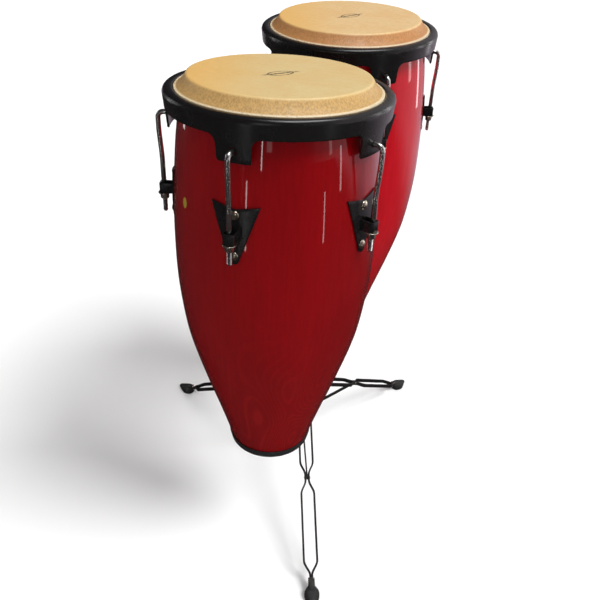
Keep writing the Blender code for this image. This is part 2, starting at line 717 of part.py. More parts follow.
def make_drum(prefix, yoke, side, lug_offset):
    """A whole drum at side -1 or +1 of the post; the lugs start lug_offset from the bracket."""
    swivel = empty(prefix + "_swivel", yoke, (side * PEG_FROM_POST, 0, seat_height(side)))
    swivel["range"] = (-SWIVEL, SWIVEL)
    rise = HEAD_HEIGHT + (BACK_RISE if side > 0 else 0) - seat_height(side)
    reach = side * PEG_FROM_DRUM
    towards_post = math.pi if side > 0 else 0.0
    drum = empty(prefix + "_drum", swivel, (reach, 0, rise), (0, lean_angle(side), 0))
    spun = empty(prefix + "_lugs", drum, rotation=(0, 0, towards_post - lug_offset))
    head = empty(prefix + "_head", spun)
    head["range"] = (0, TENSION_TRAVEL)
    head["thread_pitch"] = THREAD_PITCH
    angles = [2 * math.pi * i / LUGS for i in range(LUGS)]

    make_shell(prefix + "_shell", spun)
    make_base_ring(prefix + "_base_ring", spun)
    make_skin(prefix + "_drumhead", head)
    make_flesh_hoop(prefix + "_flesh_hoop", head)
    make_rim(prefix + "_rim", head)
    numbered = [f"{prefix}_{{}}_{i + 1}" for i in range(LUGS)]
    copies(make_hook("hook"), [n.format("hook") for n in numbered], head, angles, CHROME)
    copies(make_side_plate("plate"), [n.format("side_plate") for n in numbered], spun, angles, BLACK)
    nut = make_nut("nut")
    below = HOLE_BELOW_HEAD + STRAP_TOP + STRAP_HEIGHT + CLEARANCE + WASHER + NUT_HEIGHT / 2
    for index, (obj, angle) in enumerate(zip(
            copies(nut, [n.format("nut") for n in numbered], spun, angles, CHROME), angles)):
        obj.location = (ROD_RADIUS_FROM_AXIS * math.cos(angle), ROD_RADIUS_FROM_AXIS * math.sin(angle), -below)
    make_mount_bracket(prefix + "_mount_bracket", swivel, spun, side, lug_offset)
    stem_foot = side * (PEG_RADIUS + RUNNING_CLEARANCE)
    make_wing_bolt(prefix + "_lock_bolt", swivel, (0, stem_foot, SLEEVE_HEIGHT / 2),
                   (-side * math.pi / 2, 0, 0))


# ---------------------------------------------------------------- stand


def make_tube(name, parent, radius, bore, bottom, top, paint):
    profile = [(bore, top), (radius, top), (radius, bottom), (bore, bottom)]
    return finish(place(turned(name, profile, SMALL_SEGMENTS), parent), paint)


def make_yoke(name, parent):
    """Socket over the mast, cross bar, and a peg for each drum; the back one seats higher."""
    socket = MAST_RADIUS + RUNNING_CLEARANCE
    outer = socket + YOKE_WALL
    inner_top = YOKE_TOP - YOKE_CAP
    yoke = turned(name, [(0, YOKE_TOP), (outer, YOKE_TOP), (outer, YOKE_TOP - YOKE_SOCKET),
                         (socket, YOKE_TOP - YOKE_SOCKET), (socket, inner_top), (0, inner_top)],
                  SMALL_SEGMENTS)
    width, height = YOKE_BAR
    length = 2 * (PEG_FROM_POST + YOKE_BAR_END)
    bar = box("yoke_bar", (length, width, height), (0, 0, YOKE_TOP - 0.0012 - height / 2))
    hollow = cylinder("yoke_hollow", socket + 0.0010, YOKE_SOCKET)
    hollow.location = (0, 0, inner_top - YOKE_SOCKET / 2)
    boolean(bar, "DIFFERENCE", hollow)
    settled(bar)
    boolean(place(yoke, parent), "UNION", place(bar, parent))
    for side in (-1, 1):
        seat = seat_height(side) - CLEARANCE
        base = YOKE_TOP - height / 2
        boss = turned("peg", [
            (0, seat + PEG_LENGTH), (PEG_RADIUS - 0.0010, seat + PEG_LENGTH),
            (PEG_RADIUS, seat + PEG_LENGTH - 0.0010), (PEG_RADIUS, seat),
            (PEG_RADIUS + SLEEVE_WALL, seat), (PEG_RADIUS + SLEEVE_WALL, base), (0, base)],
            SMALL_SEGMENTS)
        boolean(yoke, "UNION", place(boss, parent, (side * PEG_FROM_POST, 0, 0)))
    return finish(settled(yoke), BLACK)


def make_height_clamp(name, parent):
    """Collar on top of the post that grips the mast, with a boss for its bolt."""
    top = POST_TOP - CLAMP_STEP + CLAMP_HEIGHT
    post_bore = POST_RADIUS + CLEARANCE
    mast_bore = MAST_RADIUS + RUNNING_CLEARANCE
    shoulder = POST_TOP + CLEARANCE
    clamp = turned(name, [
        (0, top), (CLAMP_RADIUS - 0.002, top), (CLAMP_RADIUS, top - 0.002),
        (CLAMP_RADIUS, top - CLAMP_HEIGHT), (0, top - CLAMP_HEIGHT)], SMALL_SEGMENTS)
    boss = cylinder("clamp_boss", BOSS / 2, BOSS, SMALL_SEGMENTS)
    middle = (shoulder + top) / 2
    place(boss, parent, (0, -(CLAMP_RADIUS - 0.002 + BOSS / 2 - 0.004), middle), (math.pi / 2, 0, 0))
    boolean(place(clamp, parent), "UNION", boss)
    bore = cylinder("clamp_bore", mast_bore * BORE_SEGMENT_LOSS, CLAMP_HEIGHT)
    boolean(clamp, "DIFFERENCE", place(bore, parent, (0, 0, middle)))
    seat = cylinder("clamp_seat", post_bore, CLAMP_HEIGHT)
    boolean(clamp, "DIFFERENCE", place(seat, parent, (0, 0, shoulder - CLAMP_HEIGHT / 2)))
    tap = cylinder("clamp_tap", STEM + RUNNING_CLEARANCE, CLAMP_RADIUS + BOSS, RIVET_SEGMENTS)
    place(tap, parent, (0, -MAST_RADIUS - (CLAMP_RADIUS + BOSS) / 2, middle), (math.pi / 2, 0, 0))
    boolean(clamp, "DIFFERENCE", tap)
    finish(settled(clamp), BLACK)
    make_wing_bolt("height_bolt", parent, (0, -MAST_RADIUS - RUNNING_CLEARANCE, middle), (math.pi / 2, 0, 0))


def leg_azimuths():
    return [math.radians(FRONT_LEG_AZIMUTH + turn) for turn in (0, LEG_SPREAD, -LEG_SPREAD)]


def make_hub(name, parent):
    """Sleeve fixed on the post, with a flat lug for each leg."""
    bore = POST_RADIUS + CLEARANCE
    half = HUB_HEIGHT / 2
    hub = turned(name, [(bore, PIVOT_HEIGHT + half), (HUB_RADIUS, PIVOT_HEIGHT + half),
                        (HUB_RADIUS, PIVOT_HEIGHT - half), (bore, PIVOT_HEIGHT - half)], SMALL_SEGMENTS)
    place(hub, parent)
    start, end = (bore + HUB_RADIUS) / 2, PIVOT_RADIUS + 0.0075
    for azimuth in leg_azimuths():
        lug = box("hub_lug", (end - start, LUG_PLATE, HUB_LUG_HEIGHT), ((start + end) / 2, 0, 0))
        boolean(hub, "UNION", place(lug, parent, (0, 0, PIVOT_HEIGHT), (0, 0, azimuth)))
        drill = cylinder("hub_drill", RIVET + RUNNING_CLEARANCE, 0.030, RIVET_SEGMENTS)
        spot = (PIVOT_RADIUS * math.cos(azimuth), PIVOT_RADIUS * math.sin(azimuth), PIVOT_HEIGHT)
        boolean(hub, "DIFFERENCE", place(drill, parent, spot, (math.pi / 2, 0, azimuth)))
    return finish(settled(hub), BLACK)


def make_collar(name, parent):
    """Sleeve that slides on the post, with a pair of ears for each brace's open pivot."""
    bore = POST_RADIUS + RUNNING_CLEARANCE
    height = PIVOT_HEIGHT - COLLAR_BELOW_HUB
    half = COLLAR_SLEEVE_HEIGHT / 2
    collar = turned(name, [(bore, half), (COLLAR_SLEEVE_RADIUS, half), (COLLAR_SLEEVE_RADIUS, -half),
                           (bore, -half)], SMALL_SEGMENTS)
    place(collar, parent, (0, 0, height))
    start, end = (bore + COLLAR_SLEEVE_RADIUS) / 2, COLLAR_PIVOT_RADIUS + 0.0055
    offset = BRACE / 2 + RUNNING_CLEARANCE + COLLAR_EAR / 2
    for azimuth in leg_azimuths():
        for side in (-1, 1):
            ear = box("collar_ear", (end - start, COLLAR_EAR, COLLAR_EAR_HEIGHT),
                      ((start + end) / 2, side * offset, 0))
            boolean(collar, "UNION", place(ear, parent, (0, 0, height), (0, 0, azimuth)))
    return finish(settled(collar), BLACK)


def strip_offset(x):
    """Half the distance between a leg's two bars, measured from the pivot along the leg."""
    hub = LUG_PLATE / 2 + RUNNING_CLEARANCE + STRIP / 2
    cross = BRACE / 2 + RUNNING_CLEARANCE + STRIP / 2
    close = STRIP / 2
    before, after = CROSSING - CROSSING_FLAT, CROSSING + CROSSING_FLAT
    meet = LEG_LENGTH - MEETING
    stations = [
        (-LEG_TAIL, hub), (HUB_FLAT, hub), (HUB_FLAT + RAMP, LOOP_HALF_WIDTH),
        (before - RAMP, LOOP_HALF_WIDTH), (before, cross), (after, cross),
        (after + RAMP, LOOP_HALF_WIDTH), (meet - RAMP, LOOP_HALF_WIDTH), (meet, close),
    ]
    for (x0, w0), (x1, w1) in zip(stations, stations[1:]):
        if x <= x1:
            share = (x - x0) / (x1 - x0)
            return w0 + (w1 - w0) * share * share * (3 - 2 * share)
    return close


def leg_outline():
    """Plan of a leg: two bars that part and meet again, and join in one stub at the foot."""
    meet = LEG_LENGTH - MEETING
    ramps = [HUB_FLAT, CROSSING - CROSSING_FLAT - RAMP, CROSSING + CROSSING_FLAT, meet - RAMP]
    stations = [-LEG_TAIL]
    for start in ramps:
        stations += [start + RAMP * share for share in (0, 0.3, 0.7, 1)]
    outer = [(x, strip_offset(x) + STRIP / 2) for x in stations]
    inner = [(x, strip_offset(x) - STRIP / 2) for x in stations[:-1]]
    end = LEG_LENGTH + STUB_REACH
    right = [*outer, (end, STRIP)]
    left = [(x, -y) for x, y in right[::-1]]
    return [*right, *left, *[(x, -y) for x, y in inner], (meet, 0), *inner[::-1]]


def make_leg(name, parent):
    """Two flat bars riveted at the hub and at the crossing, along local +X from the pivot."""
    leg = extruded(name, [leg_outline()], STRIP_HEIGHT)
    for x in (0, CROSSING):
        width = 2 * strip_offset(x) + STRIP + 2 * RIVET_STICKS_OUT
        rivet = cylinder("leg_rivet", RIVET, width, RIVET_SEGMENTS)
        boolean(leg, "UNION", place(rivet, None, (x, 0, 0), (math.pi / 2, 0, 0)))
    return finish(place(settled(leg), parent), BLACK)


def make_brace(name, parent):
    """Flat bar from the crossing's rivet to the collar, along local +X."""
    half = BRACE_HEIGHT / 2
    arc = 6
    outline = [(half * math.sin(math.pi * i / arc) + BRACE_LENGTH, half * math.cos(math.pi * i / arc))
               for i in range(arc + 1)]
    outline += [(-half * math.sin(math.pi * i / arc), -half * math.cos(math.pi * i / arc))
                for i in range(arc + 1)]
    holes = [circle((x, 0), RIVET + RUNNING_CLEARANCE) for x in (0, BRACE_LENGTH)]
    level, rise = brace_reach()
    brace = extruded(name, [outline, *holes], BRACE)
    # the brace's own plane stands upright, and it points inwards and a little up in the leg's frame
    pitch = math.pi - math.atan2(rise, level) + LEG_SLOPE
    for vertex in brace.data.vertices:
        x, y, z = vertex.co
        vertex.co = (x, z, y)
    brace.data.flip_normals()
    return finish(place(brace, parent, (CROSSING, 0, 0), (0, -pitch, 0)), BLACK)


def make_foot(name, parent):
    """Shield-shaped rubber foot, flat on the floor, on the leg's stub."""
    w, reach = FOOT_HALF_WIDTH, FOOT_REACH
    right = [(-0.0080, 0.0085), (0.0050, w), (0.0150, w - 0.0005), (0.0280, w * 0.62), (reach, 0.0025)]
    outline = right + [(x, -y) for x, y in right[::-1]]
    foot = extruded(name, [outline], FOOT_HEIGHT)
    for vertex in foot.data.vertices:
        vertex.co.z += FOOT_HEIGHT / 2
        if vertex.co.z > FOOT_HEIGHT / 2:
            vertex.co.z -= FOOT_SLOPE * max(0.0, vertex.co.x) / reach
    place(foot, parent, (LEG_LENGTH, 0, 0), (0, -LEG_SLOPE, 0))
    drop = Vector((0, 0, -FOOT_POINT_HEIGHT))
    drop.rotate(foot.rotation_euler)
    foot.location += drop
    gap = 2 * CLEARANCE
    socket = box("foot_socket", (0.060, 2 * STRIP + gap, STRIP_HEIGHT + gap),
                 (LEG_LENGTH + STUB_REACH + CLEARANCE - 0.030, 0, 0))
    boolean(foot, "DIFFERENCE", place(socket, parent))
    return finish(foot, RUBBER)


def make_tripod(base):
    make_hub("leg_hub", base)
    make_collar("lower_collar", base)
    for index, azimuth in enumerate(leg_azimuths(), 1):
        spot = (PIVOT_RADIUS * math.cos(azimuth), PIVOT_RADIUS * math.sin(azimuth), PIVOT_HEIGHT)
        aim = empty(f"leg_{index}_azimuth", base, spot, (0, 0, azimuth))
        pivot = empty(f"leg_{index}_pivot", aim, rotation=(0, LEG_SLOPE, 0))
        pivot["range"] = (0, FOLD)
        pivot["brace_range"] = (0, math.degrees(brace_turn()))
        make_leg(f"leg_{index}", pivot)
        make_brace(f"brace_{index}", pivot)
        make_foot(f"foot_{index}", pivot)


def make_stand(root):
    """Tripod, post and mast; returns the empty that the drums hang on."""
    base = empty("stand_base", root)
    make_tube("lower_tube", base, POST_RADIUS, POST_BORE, POST_BOTTOM, POST_TOP, BLACK)
    make_height_clamp("height_clamp", base)
    make_tripod(base)
    base["collar_range"] = (0, COLLAR_TRAVEL)
    mast = empty("mast", base)
    mast["range"] = MAST_TRAVEL
    mast_top = YOKE_TOP - YOKE_CAP - CLEARANCE
    make_tube("upper_tube", mast, MAST_RADIUS, MAST_BORE, MAST_BOTTOM, mast_top, CHROME)
    yoke = empty("yoke_turn", mast)
    make_yoke("yoke", yoke)
    return yoke


def centre_on_floor(root):
    """Moves the assembly so that the middle of its plan is at the origin."""
    bpy.context.view_layer.update()
    graph = bpy.context.evaluated_depsgraph_get()
    low, high = Vector((9, 9, 9)), Vector((-9, -9, -9))
    for obj in PARTS.objects:
        if obj.type != "MESH":
            continue
        evaluated = obj.evaluated_get(graph)
        for vertex in evaluated.to_mesh().vertices:
            spot = evaluated.matrix_world @ vertex.co
            low = Vector(map(min, low, spot))
            high = Vector(map(max, high, spot))
        evaluated.to_mesh_clear()
    middle = (low + high) / 2
    root.location = (-middle.x, -middle.y, -low.z)


def main():
    root = empty("conga_pair_root")
    yoke = make_stand(root)
    make_drum("front", yoke, -1, math.radians(FRONT_LUG_OFFSET))
    make_drum("back", yoke, 1, math.radians(BACK_LUG_OFFSET))
    centre_on_floor(root)


main()
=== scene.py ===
"""Looks of a pair of congas on a folding double stand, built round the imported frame.

Each sub-assembly is a class: its sizes are dataclass fields and its methods build its meshes and
dress them. Every length is in metres. A drum's own frame has its origin in the middle of the head's
playing face, +Z up the drum's axis and +X towards its first tension lug; Seat carries a mesh from
such a frame into the shared one.
"""

from __future__ import annotations

import json
import logging
import math
from dataclasses import dataclass
from enum import Enum
from typing import Any, Callable, Sequence

import bmesh
import bpy
import numpy as np
from mathutils import Matrix, Vector

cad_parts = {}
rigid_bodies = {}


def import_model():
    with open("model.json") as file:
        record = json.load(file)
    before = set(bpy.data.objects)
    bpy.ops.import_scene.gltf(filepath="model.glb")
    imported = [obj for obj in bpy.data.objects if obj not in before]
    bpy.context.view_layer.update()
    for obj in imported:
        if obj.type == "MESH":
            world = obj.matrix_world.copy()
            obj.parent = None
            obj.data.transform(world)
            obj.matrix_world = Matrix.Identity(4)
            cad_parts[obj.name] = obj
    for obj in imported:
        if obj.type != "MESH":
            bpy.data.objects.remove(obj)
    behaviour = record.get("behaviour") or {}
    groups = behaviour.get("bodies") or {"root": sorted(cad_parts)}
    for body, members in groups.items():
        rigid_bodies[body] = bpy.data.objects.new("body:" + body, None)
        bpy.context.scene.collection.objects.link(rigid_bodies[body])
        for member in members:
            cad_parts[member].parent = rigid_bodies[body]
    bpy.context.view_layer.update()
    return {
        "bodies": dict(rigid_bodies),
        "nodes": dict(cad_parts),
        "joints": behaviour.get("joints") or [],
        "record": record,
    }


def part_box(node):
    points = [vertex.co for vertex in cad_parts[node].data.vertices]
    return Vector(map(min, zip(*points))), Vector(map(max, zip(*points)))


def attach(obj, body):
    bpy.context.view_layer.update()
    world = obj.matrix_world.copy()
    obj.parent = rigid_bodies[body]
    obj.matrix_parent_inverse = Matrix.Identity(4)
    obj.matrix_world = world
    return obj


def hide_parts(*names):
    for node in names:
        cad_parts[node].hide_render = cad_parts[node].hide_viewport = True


LOG = logging.getLogger("congas")
Point = tuple[float, float]
Colour = tuple[float, float, float]
Socket = bpy.types.NodeSocket
FULL_TURN = 2 * math.pi
LUGS = 5
LOCAL_POINT = "local_point"
SMOOTH_ANGLE = math.radians(38)
BEVEL_ANGLE = math.radians(40)
BEVEL_FACES = 2
FLAT_ANGLE = math.radians(1)  # CAD facets that meet at less than this are joined
MERGE = 2e-6
HIDDEN_ROWS = 7  # the last points of the hide's section, tucked under the rim
SHARED = Matrix.Identity(4)
UP = (0.0, 0.0, 1.0)


class Side(Enum):
    """Which of the two drums."""

    FRONT = "front"
    BACK = "back"


class Slot(Enum):
    """The finishes that the record names."""

    LACQUER = "shell_lacquer"
    HIDE = "hide"
    HOOP = "hoop_steel"
    RIM = "rim_enamel"
    STAND = "stand_enamel"
    CHROME = "chrome_plate"
    RUBBER = "black_rubber"


# ------------------------------------------------------------------------------- node trees


class Tree:
    """Adds and joins the nodes of one shader or geometry tree."""

    def __init__(self, tree: bpy.types.NodeTree) -> None:
        """Keeps the tree.

        Args:
            tree: the tree that the nodes go into.
        """
        self.tree = tree

    def add(self, kind: str, inputs: dict[Any, Any] | None = None, **settings: Any) -> bpy.types.Node:
        """Adds a node.

        Args:
            kind: the node's Blender type.
            inputs: a value or another node's output for each named or numbered input.
            settings: properties of the node.

        Returns:
            The new node.
        """
        node = self.tree.nodes.new(kind)
        for name, value in settings.items():
            setattr(node, name, value)
        for key, value in (inputs or {}).items():
            if isinstance(value, bpy.types.NodeSocket):
                self.tree.links.new(value, node.inputs[key])
            else:
                node.inputs[key].default_value = value
        return node

    def math(self, operation: str, *values: Any) -> Socket:
        """Adds a Math node on the given values and returns its output."""
        node = self.add("ShaderNodeMath", dict(enumerate(values)), operation=operation)
        return node.outputs[0]

    def times(self, first: Any, second: Any) -> Socket:
        """Multiplies two values and returns the product's socket."""
        return self.math("MULTIPLY", first, second)

    def vector(self, operation: str, *values: Any) -> Socket:
        """Adds a Vector Math node on the given values and returns its vector output."""
        node = self.add("ShaderNodeVectorMath", dict(enumerate(values)), operation=operation)
        return node.outputs["Vector"]

    def dot(self, first: Any, second: Any) -> Socket:
        """Returns the socket of two vectors' dot product."""
        node = self.add("ShaderNodeVectorMath", {0: first, 1: second}, operation="DOT_PRODUCT")
        return node.outputs["Value"]

    def join(self, source: Socket, node: bpy.types.Node, entry: str) -> None:
        """Links an output to a node's named input."""
        self.tree.links.new(source, node.inputs[entry])

    def noise(self, vector: Socket, scale: float, detail: float = 3.0, roughness: float = 0.5) -> Socket:
        """Adds a Noise Texture and returns its factor."""
        node = self.add("ShaderNodeTexNoise", {
            "Vector": vector, "Scale": scale, "Detail": detail, "Roughness": roughness})
        return node.outputs["Fac"]

    def stretched(self, vector: Socket, scale: Sequence[float]) -> Socket:
        """Adds a Mapping that scales a pattern's coordinates and returns its output."""
        return self.add("ShaderNodeMapping", {"Vector": vector, "Scale": tuple(scale)}).outputs[0]

    def ramp(self, value: Socket, low: float, high: float, to_low: float = 0.0,
             to_high: float = 1.0) -> Socket:
        """Adds a smooth Map Range from one pair of limits to another and returns its output."""
        limits = {"Value": value, "From Min": low, "From Max": high, "To Min": to_low, "To Max": to_high}
        node = self.add("ShaderNodeMapRange", limits, interpolation_type="SMOOTHSTEP")
        return node.outputs["Result"]

    def mix(self, share: Socket | float, first: Any, second: Any) -> Socket:
        """Mixes two colours.

        Args:
            share: how much of the second colour, from 0 to 1.
            first: a colour, or a socket that gives one.
            second: likewise.

        Returns:
            The mixed colour's socket.
        """
        node = self.add("ShaderNodeMix", data_type="RGBA", clamp_factor=True)
        for key, value in (("Factor_Float", share), ("A_Color", first), ("B_Color", second)):
            socket = next(s for s in node.inputs if s.identifier == key)
            if isinstance(value, bpy.types.NodeSocket):
                self.tree.links.new(value, socket)
            else:
                socket.default_value = value if key == "Factor_Float" else (*value, 1.0)
        return next(s for s in node.outputs if s.identifier == "Result_Color")


def toned(colour: Colour, factor: float) -> Colour:
    """A darker or lighter tone of a colour."""
    return tuple(min(1.0, part * factor) for part in colour)


class Effects:
    """Shader groups that more than one finish uses."""

    _made: dict[str, bpy.types.NodeTree] = {}

    @classmethod
    def group(cls, name: str, outputs: Sequence[str], fill: Callable[[Tree, Socket], Sequence[Socket]]
              ) -> bpy.types.NodeTree:
        """Makes a group from coordinates to masks, or gives the one that exists.

        Args:
            name: the group's name.
            outputs: names of its output masks.
            fill: builds the nodes from the coordinates and returns the masks.

        Returns:
            The node group.
        """
        if name in cls._made:
            return cls._made[name]
        group = bpy.data.node_groups.new(name, "ShaderNodeTree")
        group.interface.new_socket(name="Coordinates", in_out="INPUT", socket_type="NodeSocketVector")
        for output in outputs:
            group.interface.new_socket(name=output, in_out="OUTPUT", socket_type="NodeSocketFloat")
        tree = Tree(group)
        masks = fill(tree, tree.add("NodeGroupInput").outputs[0])
        tree.add("NodeGroupOutput", dict(enumerate(masks)))
        cls._made[name] = group
        return group

    @classmethod
    def handling(cls) -> bpy.types.NodeTree:
        """Smudges left by hands and fine specks of dust."""

        def fill(tree: Tree, where: Socket) -> Sequence[Socket]:
            """Builds the two masks from the coordinates."""
            smudge = tree.ramp(tree.noise(where, 34.0, 4.0, 0.62), 0.38, 0.68)
            speck = tree.ramp(tree.noise(where, 900.0, 2.0), 0.55, 0.75)
            return smudge, speck

        return cls.group("handling_marks", ("Smudge", "Speck"), fill)

    @classmethod
    def grain(cls) -> bpy.types.NodeTree:
        """Long wood fibres along Z, and the arched figure of flat-sawn staves."""

        def fill(tree: Tree, where: Socket) -> Sequence[Socket]:
            """Builds the fibre and figure masks from the coordinates."""
            fibre = tree.noise(tree.stretched(where, (1.0, 1.0, 0.045)), 210.0, 5.0, 0.6)
            field = tree.noise(tree.stretched(where, (1.0, 1.0, 0.20)), 7.0, 1.0, 0.4)
            arches = tree.math("SINE", tree.times(field, 330.0))
            return fibre, tree.ramp(arches, 0.2, 1.0)

        return cls.group("wood_grain", ("Fibre", "Figure"), fill)


@dataclass(frozen=True)
class Finish:
    """What every finish has: a name, a colour and how rough it is."""

    name: str
    colour: Colour
    roughness: float

    def start(self, local: bool = False) -> tuple[bpy.types.Material, Tree, bpy.types.Node, Socket]:
        """Starts a material.

        Args:
            local: whether its patterns follow the drum's own frame, kept in an attribute.

        Returns:
            The material, its tree, its Principled shader and the coordinates of its patterns.
        """
        material = bpy.data.materials.new(self.name)
        material.use_nodes = True
        tree = Tree(material.node_tree)
        shader = material.node_tree.nodes["Principled BSDF"]
        shader.inputs["Roughness"].default_value = self.roughness
        shader.inputs["Base Color"].default_value = (*self.colour, 1.0)
        if local:
            where = tree.add("ShaderNodeAttribute", attribute_name=LOCAL_POINT).outputs["Vector"]
        else:
            where = tree.add("ShaderNodeTexCoord").outputs["Object"]
        return material, tree, shader, where

    def marks(self, tree: Tree, where: Socket, group: bpy.types.NodeTree) -> Any:
        """Places a shared effect in the material and returns its masks."""
        return tree.add("ShaderNodeGroup", {"Coordinates": where}, node_tree=group).outputs

    def bump(self, tree: Tree, shader: bpy.types.Node, height: Socket, strength: float,
             distance: float) -> None:
        """Feeds a height into the shader's normal.

        Args:
            tree: the material's tree.
            shader: its Principled shader.
            height: the height's socket.
            strength: the Bump node's strength.
            distance: the height that a value of 1 stands for.
        """
        node = tree.add("ShaderNodeBump", {"Height": height, "Strength": strength, "Distance": distance})
        tree.join(node.outputs[0], shader, "Normal")


@dataclass(frozen=True)
class Oval:
    """A plain printed oval on a drum, in the drum's own frame."""

    centre: tuple[float, float, float]
    size: tuple[float, float, float]
    colour: Colour

    def mask(self, tree: Tree, where: Socket) -> Socket:
        """Builds the oval's mask: 1 inside and 0 outside."""
        scaled = tree.vector("DIVIDE", tree.vector("SUBTRACT", where, self.centre), self.size)
        length = tree.add("ShaderNodeVectorMath", {0: scaled}, operation="LENGTH").outputs["Value"]
        return tree.ramp(length, 0.92, 1.0, 1.0, 0.0)


@dataclass(frozen=True)
class Lacquer(Finish):
    """Glossy transparent red over figured wood."""

    deep: Colour = (0.10, 0.0002, 0.0010)
    light: Colour = (0.46, 0.014, 0.011)
    coat_roughness: float = 0.035
    coat_index: float = 1.5
    figured: Point = (-0.34, -0.62)  # heights between which the wood's figure comes through
    badge: Oval | None = None

    def material(self) -> bpy.types.Material:
        """Builds the material."""
        material, tree, shader, where = self.start(local=True)
        grain = self.marks(tree, where, Effects.grain())
        height = tree.add("ShaderNodeSeparateXYZ", {0: where}).outputs["Z"]
        low_down = tree.ramp(height, *self.figured)
        fibre = tree.ramp(grain["Fibre"], 0.30, 0.72)
        colour = tree.mix(tree.times(fibre, 0.30), self.colour, self.deep)
        figure = tree.times(grain["Figure"], tree.math("MULTIPLY_ADD", low_down, 0.17, 0.02))
        colour = tree.mix(figure, colour, self.light)
        blotch = tree.ramp(tree.noise(tree.stretched(where, (1, 1, 0.3)), 7.0, 2.0), 0.35, 0.75)
        colour = tree.mix(tree.times(blotch, 0.35), colour, self.deep)
        if self.badge:
            colour = tree.mix(self.badge.mask(tree, where), colour, self.badge.colour)
        tree.join(colour, shader, "Base Color")
        shader.inputs["Specular IOR Level"].default_value = 0.04
        shader.inputs["Coat Weight"].default_value = 1.0
        shader.inputs["Coat Roughness"].default_value = self.coat_roughness
        shader.inputs["Coat IOR"].default_value = self.coat_index
        ripple = tree.noise(tree.stretched(where, (1, 1, 0.12)), 60.0, 2.0)
        peel = tree.noise(where, 420.0, 1.0)
        waves = tree.math("MULTIPLY_ADD", peel, 0.10, ripple)
        self.bump(tree, shader, waves, 0.10, 0.0016)
        return material


@dataclass(frozen=True)
class RawWood(Finish):
    """The unlacquered inside of the shell, with its glued staves."""

    joint: Colour = (0.10, 0.055, 0.028)
    staves: int = 28

    def material(self) -> bpy.types.Material:
        """Builds the material."""
        material, tree, shader, where = self.start(local=True)
        grain = self.marks(tree, where, Effects.grain())
        parts = tree.add("ShaderNodeSeparateXYZ", {0: where})
        turn = tree.math("ARCTAN2", parts.outputs["Y"], parts.outputs["X"])
        stave = tree.times(turn, self.staves / FULL_TURN)
        edge = tree.math("ABSOLUTE", tree.math("SUBTRACT", tree.math("FRACT", stave), 0.5))
        seam = tree.ramp(edge, 0.482, 0.497)
        colour = tree.mix(grain["Fibre"], self.colour, toned(self.colour, 0.55))
        colour = tree.mix(tree.times(grain["Figure"], 0.3), colour, toned(self.colour, 1.2))
        colour = tree.mix(seam, colour, self.joint)
        tree.join(colour, shader, "Base Color")
        self.bump(tree, shader, tree.math("SUBTRACT", grain["Fibre"], seam), 0.4, 0.0012)
        return material


@dataclass(frozen=True)
class Hide(Finish):
    """Natural rawhide, darker where it turns down over the collar, with painted warm light on one side and a
    painted highlight along its hem.
    """

    collar: Colour = (0.42, 0.22, 0.08)
    patch: Colour = (0.60, 0.36, 0.14)
    stamp: Oval | None = None
    # pale colour of the hem, also brightened to paint the highlight along the line where the hide meets the
    # rim
    edge: Colour = (0.84, 0.75, 0.55)
    painted_light_tint: Colour = (0.76, 0.44, 0.12)
    painted_light_side: Colour = (0.0, 0.0, 0.0)  # direction of the side on which painted light tints the hide a warmer colour
    painted_light_reach: float = 0.145
    turn_down: Point = (-0.0004, -0.0040)  # heights between which the collar's colour begins
    hem: Point = (-0.0175, -0.0192)

    def printed(self, tree: Tree, where: Socket) -> Socket:
        """Builds the mask of a plain printed ring with a bar across it."""
        stamp = self.stamp
        worn = tree.ramp(tree.noise(where, 260.0, 3.0), 0.34, 0.50)
        inner = Oval(stamp.centre, toned(stamp.size, 0.80), stamp.colour)
        long, high, deep = stamp.size
        bar = Oval(stamp.centre, (long * 1.5, high * 0.22, deep), stamp.colour)
        ring = tree.math("SUBTRACT", stamp.mask(tree, where), inner.mask(tree, where))
        ink = tree.math("MAXIMUM", ring, bar.mask(tree, where))
        return tree.times(tree.times(ink, worn), 0.85)

    def material(self) -> bpy.types.Material:
        """Builds the material."""
        material, tree, shader, where = self.start(local=True)
        height = tree.add("ShaderNodeSeparateXYZ", {0: where}).outputs["Z"]
        cloud = tree.ramp(tree.noise(where, 13.0, 4.0, 0.6), 0.36, 0.70)
        mottle = tree.ramp(tree.noise(where, 95.0, 4.0, 0.65), 0.34, 0.70)
        pores = tree.noise(where, 1100.0, 2.0, 0.6)
        colour = tree.mix(tree.times(cloud, 0.50), self.colour, self.patch)
        colour = tree.mix(tree.times(mottle, 0.26), colour, toned(self.patch, 0.74))
        colour = tree.mix(tree.times(tree.ramp(pores, 0.42, 0.66), 0.12), colour, toned(self.colour, 1.35))
        # painted light and shade: one side of the head is tinted a warmer, deeper orange to paint how the
        # light falls on it
        painted_light_mask = tree.ramp(tree.dot(where, self.painted_light_side), 0.0, self.painted_light_reach)
        colour = tree.mix(tree.times(painted_light_mask, 0.85), colour, self.painted_light_tint)
        slope = tree.ramp(height, *self.turn_down)
        fibres = tree.noise(tree.stretched(where, (1.0, 1.0, 0.10)), 460.0, 3.0, 0.6)
        turned_down = tree.mix(tree.ramp(fibres, 0.35, 0.68), self.collar, toned(self.collar, 0.62))
        colour = tree.mix(tree.times(slope, 0.86), colour, turned_down)
        # pale band at the hem: the hem's own light colour together with a painted highlight along the rim's
        # lip
        colour = tree.mix(tree.times(tree.ramp(height, *self.hem), 0.75), colour, self.edge)
        if self.stamp:
            colour = tree.mix(self.printed(tree, where), colour, self.stamp.colour)
        tree.join(colour, shader, "Base Color")
        rough = tree.ramp(mottle, 0.0, 1.0, self.roughness - 0.06, self.roughness + 0.10)
        tree.join(rough, shader, "Roughness")
        relief = tree.math("MULTIPLY_ADD", pores, 0.35, tree.math("MULTIPLY_ADD", mottle, 0.8, fibres))
        self.bump(tree, shader, relief, 0.22, 0.0007)
        return material


